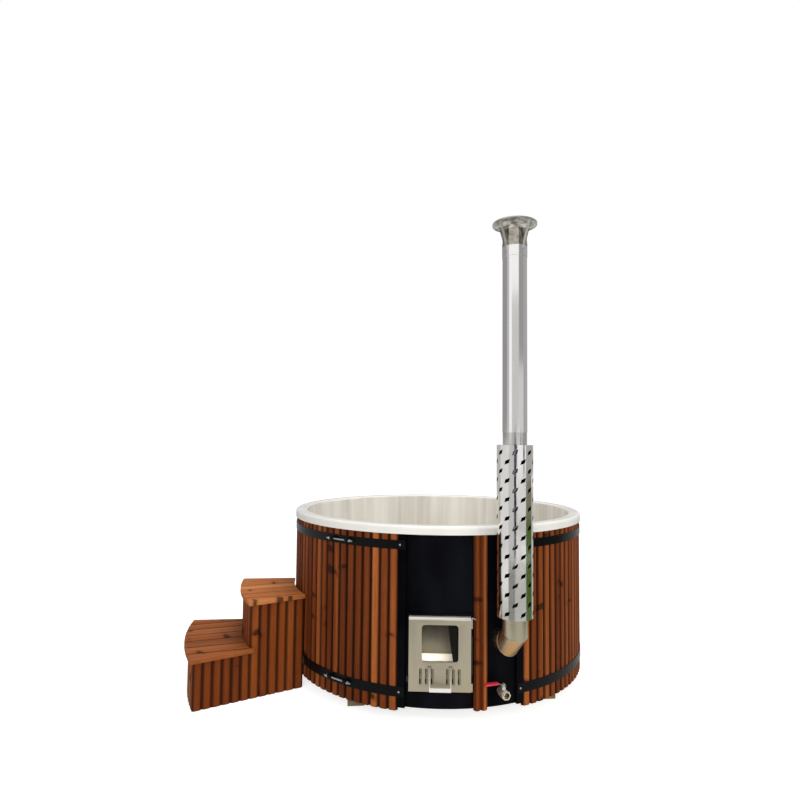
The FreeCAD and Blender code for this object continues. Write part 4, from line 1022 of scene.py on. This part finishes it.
threads = []
for level in rod_levels:
    thread = grown("thread", thread_tree, {
        "Radius": rod_radius, "Length": 2 * rod_half, "Turns": thread_turns, "Ridge": thread_ridge,
        "Finish": zinc})
    lie_down = Matrix.Rotation(radians(90), 4, "Y")
    shift = Matrix.Translation((-rod_half, -rod_ring, level))
    thread.data.transform(Matrix.Rotation(radians(tensioner_angle), 4, "Z") @ shift @ lie_down)
    outward(thread.data)
    threads.append(thread)
seated(joined("tensioner_threads", threads), "tub", "bright_fasteners")
print("threads:", round(thread_turns), "turns each")

# %% [markdown]
# ## Brushed stainless
# The door and its fittings are folded sheet with a vertical brushed grain. Brushing is a very long thin noise
# that changes the roughness and tilts the surface slightly; the colour hardly varies. The door's upper edge
# is rolled over and gets a paler finish as a painted highlight, and the pull handle's finish brightens
# downwards to a painted highlight at its lower end.

# %% Brushed stainless
brushing = (900, 900, 6)
brushed, brush_shader = new_finish("brushed_stainless", metallic=1.0, roughness=0.38)
brush_lines = speckle(brush_shader, 1.0, 3.0, 0.6, brushing)
brush_cloud = speckle(brush_shader, 1.0, 3.0, 0.5, (6, 6, 3))
layered(brush_shader, colour(200, 192, 170), (brush_cloud, colour(220, 212, 191)),
        (scaled(brush_lines, 0.25), colour(166, 160, 147)))
wire(brush_shader, "Roughness", spread(brush_lines, 0.2, 0.8, 0.34, 0.52))
roughen(brush_shader, brush_lines, 0.12, 0.0004)
# The door's rolled upper edge gets this paler finish as a painted highlight.
bright = mottled("bright_stainless", ((234, 230, 223), (208, 203, 194)), (1.0, 3.0, 0.6, brushing), 0.6, 0.3)

pulled, pull_shader = new_finish("worn_stainless", metallic=0.5, roughness=0.3)
pull_size = Extent("air_handle")
# The handle brightens towards its lower end as a painted highlight.
pull_painted_highlight = spread(height_of(pull_shader), pull_size.low + 0.012, pull_size.high - 0.015, 1.0, 0.0)
layered(pull_shader, colour(166, 159, 142), (pull_painted_highlight, colour(255, 252, 248)))
dress(brushed, "glass_retainer", "slider_guides", "drain_grille", "flow_pipes")
for node, body, finish in (("air_handle", "air_control", pulled), ("door_catch", "catch", blackened),
                           ("valve_lever", "valve_handle", brushed)):
    softened(node, "folded", body, "stainless", 0.0008, [finish])
door_top = Extent("firebox_door").high
lip_height = 0.014
door_sheet = softened("firebox_door", "folded", "door", "stainless", 0.0012, [brushed, bright])
# The faces of the rolled edge take the painted highlight.
lip_faces = second_finish(door_sheet, lambda face: face.center.z > door_top - lip_height)
print("brushed stainless on the door and its fittings,", lip_faces, "bright faces on the door's upper edge")

# %% [markdown]
# ## Heater plate
# The firebox, jacket and smoke box are plain steel plate, dulled and browned by heat. They darken towards the
# top, partly as smoke and partly as painted shade inside the firebox. A gradient along Z mixed with noise
# gives it.

# %% Heater plate
plate, plate_shader = new_finish("heat_stained_plate", metallic=0.6, roughness=0.55)
smoke_and_shade_starts, smoke_and_shade_full = 0.29, 0.42
plate_cloud = speckle(plate_shader, 14.0, 5.0, 0.6)
# Darker towards the top: partly smoke, partly painted shade.
plate_smoke_and_shade = math_of("ADD", spread(height_of(plate_shader), smoke_and_shade_starts, smoke_and_shade_full),
                      spread(plate_cloud, 0.2, 0.8, -0.2, 0.2), clamp=True)
layered(plate_shader, colour(150, 142, 126), (plate_smoke_and_shade, colour(74, 68, 58)))
wire(plate_shader, "Roughness", spread(plate_cloud, 0.3, 0.7, 0.45, 0.65))
roughen(plate_shader, plate_cloud, 0.15, 0.001)
dress(plate, "firebox", "water_jacket", "smoke_box")
dress(mottled("tarnished_plate", ((122, 112, 92), (152, 141, 118)), (40.0, 4.0, 0.6), 0.3, 0.6), "air_slider")
dress(mottled("sooty_plate", ((6, 5, 5), (16, 13, 12)), (30.0, 5.0, 0.6), 0.0, 0.85, relief=(0.3, 0.001)),
      "flue_baffle")
print("heater plates dressed")

# %% [markdown]
# ## Hearth board
# A cream slab of pressed heat-proof fibre: matt, faintly speckled, with a slightly rough face.

# %% Hearth board
fire_board, fire_shader = new_finish("fire_board", roughness=0.9)
fire_speck = speckle(fire_shader, 220.0, 3.0)
layered(fire_shader, colour(247, 240, 222), (speckle(fire_shader, 11.0, 4.0), colour(236, 226, 204)),
        (spread(fire_speck, 0.62, 0.75, 0.0, 0.4), colour(196, 180, 152)))
roughen(fire_shader, fire_speck, 0.25, 0.001)
dress(fire_board, "hearth_board")
print("hearth dressed")

# %% [markdown]
# ## Door glass
# A clear ceramic pane. Light has to pass it to show the hearth, and a bent ray from full transmission would
# leave the box dark, so the pane is thin and mostly open by its alpha, with the gloss of glass on top.

# %% Door glass
glass = mottled("door_glass", ((30, 30, 28), (60, 58, 53)), (24.0, 4.0), 0.0, 0.03, sheen=(0.02, 0.08))
wire(shader_of(glass), "Alpha", 0.08)
wire(shader_of(glass), "IOR", 1.5)
dress(glass, "door_glass")
print("glass dressed")

# %% [markdown]
# ## Polished stainless
# The flue is thin polished sheet. It is nearly a mirror, but rolled sheet is never quite true, so a slow
# wave along the pipe bends the reflections, and fingerprints change the roughness a little. The elbow next to
# the fire is dulled and yellowed. The top of the pipe is painted brown as the shadow of the rain cap, and the
# cap's underside is painted darker as shade; the cap is brushed on top.


# %% Polished stainless
def waved(shader):
    """The slow wave of rolled sheet along the flue."""
    roughen(shader, speckle(shader, 14.0, 2.0, 0.5, (1, 1, 0.22)), 0.06, 0.004)


polished, polish_shader = new_finish("polished_stainless", metallic=1.0, roughness=0.12)
polish_smear = speckle(polish_shader, 22.0, 4.0, 0.6)
layered(polish_shader, colour(232, 230, 227), (polish_smear, colour(243, 242, 240)))
wire(polish_shader, "Roughness", spread(polish_smear, 0.3, 0.75, 0.08, 0.2))
waved(polish_shader)
dress(polished, "flue_spigot", "cap_legs")

# The pipe's top, inside the rain cap, is painted brown as the cap's shadow.
stained, cap_shadow_shader = new_finish("smoke_stained_pipe", metallic=1.0, roughness=0.13)
cap_shadow_line = Extent("cap_collar").high - 0.013
cap_shadow_cloud = speckle(cap_shadow_shader, 30.0, 4.0, 0.6)
cap_shadow_above = math_of("ADD", height_of(cap_shadow_shader), scaled(cap_shadow_cloud, 0.012))
cap_shadow_share = spread(cap_shadow_above, cap_shadow_line, cap_shadow_line + 0.003)
cap_shadow_brown = mixed(spread(cap_shadow_cloud, 0.35, 0.65), colour(128, 121, 109), colour(186, 180, 170))
layered(cap_shadow_shader, colour(240, 239, 237), (cap_shadow_share, cap_shadow_brown))
waved(cap_shadow_shader)
dress(stained, "chimney_pipe_upper", "cap_collar")

dull = mottled("dull_stainless", ((192, 184, 160), (216, 208, 186)), (9.0, 2.0), 1.0, 0.3, sheen=(0.24, 0.34))
dress(dull, "flue_elbow")

cap_underside_shade = mottled("smoked_stainless", ((134, 127, 116), (250, 249, 246)), (24.0, 4.0, 0.65), 1.0, 0.24,
                 window=(0.38, 0.6))
# The cap's downward faces get the darker finish as painted shade.
cap = softened("cap_cone", "rolled", "tub", "polished_steel", 0.0006, [brushed, cap_underside_shade])
shaded_underside_faces = second_finish(cap, lambda face: face.normal.z < -0.3)
print("stainless on the flue: polished outside, dull on the elbow,", shaded_underside_faces,
      "browned faces under the cap")

# %% [markdown]
# ## Painted shade behind the guard
# The guard's inside, its spacers and the pipe behind it are painted nearly black as shade, all but a strip
# along the pipe's seam, so most slots look dark.

# %% Painted shade behind the guard
# Nearly black steel as painted shade in the narrow gap round the pipe.
shaded = mottled("heated_steel", ((9, 8, 8), (26, 23, 21)), (30.0, 4.0), 0.0, 0.8)
wire(shader_of(shaded), "Specular IOR Level", 0.05)
dress(shaded, "guard_spacers")

shaded_pipe, pipe_shade_shader = new_finish("heat_tinted_pipe", metallic=1.0, roughness=0.16)
guard_size = Extent("chimney_guard")
shade_below_guard_top = spread(height_of(pipe_shade_shader), guard_size.high - 0.03, guard_size.high - 0.02, 1.0, 0.0)
seam_side = -10.6
seam_across = polar(1, seam_side + 90)
seam_reach = math_of("SUBTRACT", vector_of("DOT_PRODUCT", place_on_piece(pipe_shade_shader), seam_across),
                     seam_across.dot(chimney_place))
shade_off_seam = spread(math_of("ABSOLUTE", seam_reach), 0.006, 0.011)
# Below the guard's top and away from the seam, the pipe is painted dark as shade.
pipe_shade_share = scaled(shade_below_guard_top, shade_off_seam)
layered(pipe_shade_shader, colour(214, 212, 208), (pipe_shade_share, colour(24, 22, 20)))
dress(shaded_pipe, "chimney_pipe_lower")
# The painted shade on the spacers and the lower pipe reaches up to this height.
print("heat has blackened the spacers and the lower pipe up to", round(guard_size.high, 2), "m")

# %% [markdown]
# ## Punched heat guard
# A sleeve of polished sheet stands round the hot pipe, punched with leaning slots in staggered rows. The tree
# sets one cutter on each place of the grid, by its column and row, and takes them all out of the sleeve.

# %% Guard tree
guard_tree, guard_in = new_tree("punched_sleeve", {
    "Cutter": "Object", "Columns": "Int", "Rows": "Int", "Pitch": "Float", "First height": "Float",
    "First turn": "Float", "Finish": "Material"})
holes = scaled(guard_in["Columns"], guard_in["Rows"])
spots = add_node(guard_tree, "GeometryNodeMeshLine", {"Count": holes, "Offset": (0, 0, 0)}).outputs[0]
spot = add_node(guard_tree, "GeometryNodeInputIndex").outputs[0]
column = math_of("MODULO", spot, guard_in["Columns"])
row = math_of("FLOOR", math_of("DIVIDE", spot, guard_in["Columns"]))
even_column = math_of("MODULO", math_of("ADD", column, 1.0), 2.0)
fall = scaled(math_of("ADD", row, scaled(even_column, 0.5)), guard_in["Pitch"])
height = math_of("SUBTRACT", guard_in["First height"], fall)
turn_share = math_of("DIVIDE", column, guard_in["Columns"])
spin = math_of("ADD", scaled(turn_share, 2 * pi), guard_in["First turn"])
moved_spots = add_node(guard_tree, "GeometryNodeSetPosition",
                       {"Geometry": spots, "Position": vector_from(guard_tree, z=height)})
cutters = copies_turned(moved_spots.outputs[0], guard_in["Cutter"], spin)
punched = add_node(guard_tree, "GeometryNodeMeshBoolean",
                   {"Mesh 1": guard_in["Geometry"], "Mesh 2": made_real(cutters)},
                   operation="DIFFERENCE")
end_tree(punched.outputs[0], guard_in["Finish"])

# %% Guard
guard_radius = guard_size.half_width
guard_low, guard_high = guard_size.low, guard_size.high
guard_wall = 0.0015
guard_columns, guard_rows = 14, 9
guard_pitch = 0.0893
first_hole = 0.036
first_hole_turn = -3.5
hole_run, hole_rise, hole_lean, hole_height = 0.024, 0.009, 0.005, 0.0195
sleeve_sides = 168
flue_angle = atan2(chimney_place.x, -chimney_place.y)
chimney_frame = Matrix.Rotation(flue_angle, 4, "Z") @ Matrix.Translation((0, -chimney_place.length, 0))


def lathe(name, outline, sides):
    """A closed outline of (radius, height) points spun round the Z axis."""
    corners = []
    for side in range(sides):
        angle = side * 360 / sides
        corners += [polar(radius, angle, height) for radius, height in outline]
    count = len(outline)
    faces = []
    for side in range(sides):
        after = (side + 1) % sides
        for k in range(count):
            ahead_k = (k + 1) % count
            faces.append((side * count + k, after * count + k, after * count + ahead_k,
                          side * count + ahead_k))
    mesh = mesh_of(name, corners, faces)
    outward(mesh)
    return mesh


guard_inner = guard_radius - guard_wall
sleeve = lathe("heat_guard", [(guard_inner, guard_low), (guard_radius, guard_low), (guard_radius, guard_high),
                              (guard_inner, guard_high)], sleeve_sides)
leaning = [(-hole_run - hole_lean, -hole_rise - hole_height), (hole_run - hole_lean, hole_rise - hole_height),
           (hole_run + hole_lean, hole_rise + hole_height), (-hole_run + hole_lean, -hole_rise + hole_height)]
cutter_points = [(x / 2, -guard_radius * reach, z / 2) for reach in (1.2, 0.8) for x, z in leaning]
cutter_sides = [(k, k + 4, (k + 1) % 4 + 4, (k + 1) % 4) for k in range(4)]
cutter_mesh = mesh_of("slot_cutter", cutter_points, [(0, 1, 2, 3), (7, 6, 5, 4)] + cutter_sides)
outward(cutter_mesh)
cutter = new_piece("slot_cutter", cutter_mesh)
guard = grown("heat_guard", guard_tree, {
    "Cutter": cutter, "Columns": guard_columns, "Rows": guard_rows, "Pitch": guard_pitch,
    "First height": guard_high - first_hole, "First turn": radians(first_hole_turn), "Finish": polished},
    sleeve)
bpy.data.objects.remove(cutter)
shade(guard.data, sharp_corner)
guard.data.materials.clear()
for finish in (polished, shaded):
    guard.data.materials.append(finish)
# The guard's inner faces get the painted shade.
shaded_faces = second_finish(guard, lambda face: face.center.xy.length < guard_radius - guard_wall * 0.25)
guard.data.transform(chimney_frame)
seated(guard, "tub", "polished_steel", "chimney_guard")
print("guard:", guard_columns * guard_rows, "slots,", len(guard.data.polygons), "faces, of which",
      shaded_faces, "are heated")

# %% [markdown]
# ## Seams of the elbow
# The elbow is three lengths of pipe cut at a slant and seamed together. The seam is a thin standing ridge
# on the ellipse where the slanted plane cuts the pipe, so it is drawn as a closed curve with a round section.

# %% Elbow seams
pipe_radius = 0.0602
flue_height = 0.405
elbow_turn = 0.065
seam_points = 72


def seam_ring(corner, before, after, radius):
    """Points of the ellipse where two lengths of pipe meet at a corner."""
    across = (before + after).normalized()
    side = Vector((1, 0, 0))
    upward = before.cross(side).normalized()
    ring = []
    for k in range(seam_points):
        turn = 2 * pi * k / seam_points
        out = (side * cos(turn) + upward * sin(turn)) * radius
        ring.append(corner + out - before * (out.dot(across) / before.dot(across)))
    return ring


def bead(name, points, thickness):
    """A round ridge along a closed line of points."""
    curve = bpy.data.curves.new(name, "CURVE")
    curve.dimensions = "3D"
    curve.bevel_depth = thickness
    curve.bevel_resolution = 2
    spline = curve.splines.new("POLY")
    spline.points.add(len(points) - 1)
    for target, point in zip(spline.points, points):
        target.co = (*point, 1)
    spline.use_cyclic_u = True
    piece = new_piece(name, curve)
    graph = bpy.context.evaluated_depsgraph_get()
    mesh = bpy.data.meshes.new_from_object(piece.evaluated_get(graph))
    bpy.data.objects.remove(piece)
    mesh.materials.append(dull)
    return new_piece(name, mesh)


level_way = Vector((0, -1, 0))
rising_way = Vector((0, -1, 1)).normalized()
upright_way = Vector((0, 0, 1))
seam_thickness = 0.0011
seams = []
for corner, before, after in ((Vector((0, elbow_turn, flue_height)), level_way, rising_way),
                              (Vector((0, 0, flue_height + elbow_turn)), rising_way, upright_way)):
    seams.append(bead("seam", seam_ring(corner, before, after, pipe_radius), seam_thickness))
elbow_seams = joined("elbow_seams", seams)
elbow_seams.data.transform(chimney_frame)
outward(elbow_seams.data)
seated(elbow_seams, "tub", "polished_steel")
print("elbow seams:", len(seams))

# %% [markdown]
# ## Drain valve
# A nickel-plated brass ball valve with a red dipped lever. The plating is warm grey; inside the outlet the
# bare brass shows, so the faces of the bore get a second material.

# %% Drain valve
plating = mottled("plated_brass", ((222, 215, 197), (248, 244, 233)), (120.0, 4.0), 0.8, 0.3,
                  sheen=(0.22, 0.4), relief=(0.15, 0.0006))
brass = mottled("bare_brass", ((190, 150, 66), (226, 188, 104)), (150.0, 3.0), 0.5, 0.32,
                relief=(0.2, 0.0006))
vinyl = mottled("red_vinyl", ((196, 34, 50), (224, 62, 76)), (320.0, 3.0), 0.0, 0.42, relief=(0.15, 0.0005))
valve = softened("valve_body", "cast", "tub", "plated_brass", 0.0012, [plating, brass])
drain_height = 0.150
bore_limit = 0.0165
drain_way = Extent("valve_stem").middle.normalized()


def in_the_bore(face):
    """Whether a face of the valve looks inwards to the bore's axis."""
    lift = face.center - Vector((0, 0, drain_height))
    spoke = lift - drain_way * lift.dot(drain_way)
    across = abs(face.normal.dot(drain_way)) < 0.5
    return across and spoke.length < bore_limit and face.normal.dot(spoke) < 0


brass_faces = second_finish(valve, in_the_bore)
dress(plating, "valve_stem")
softened("lever_sleeve", "dipped", "valve_handle", "red_grip", 0.0018, [vinyl], 3)
print("valve:", brass_faces, "brass faces")

# %% [markdown]
# ## Drain fittings
# The sump and the pipe under the floor are plain grey moulded plastic with a fine texture.

# %% Grey plastic
plastic = mottled("grey_plastic", ((150, 150, 152), (164, 164, 165)), (420.0, 2.0), 0.0, 0.5,
                  relief=(0.1, 0.0005))
dress(plastic, "drain_sump", "drain_pipe")
print("grey plastic on the drain")
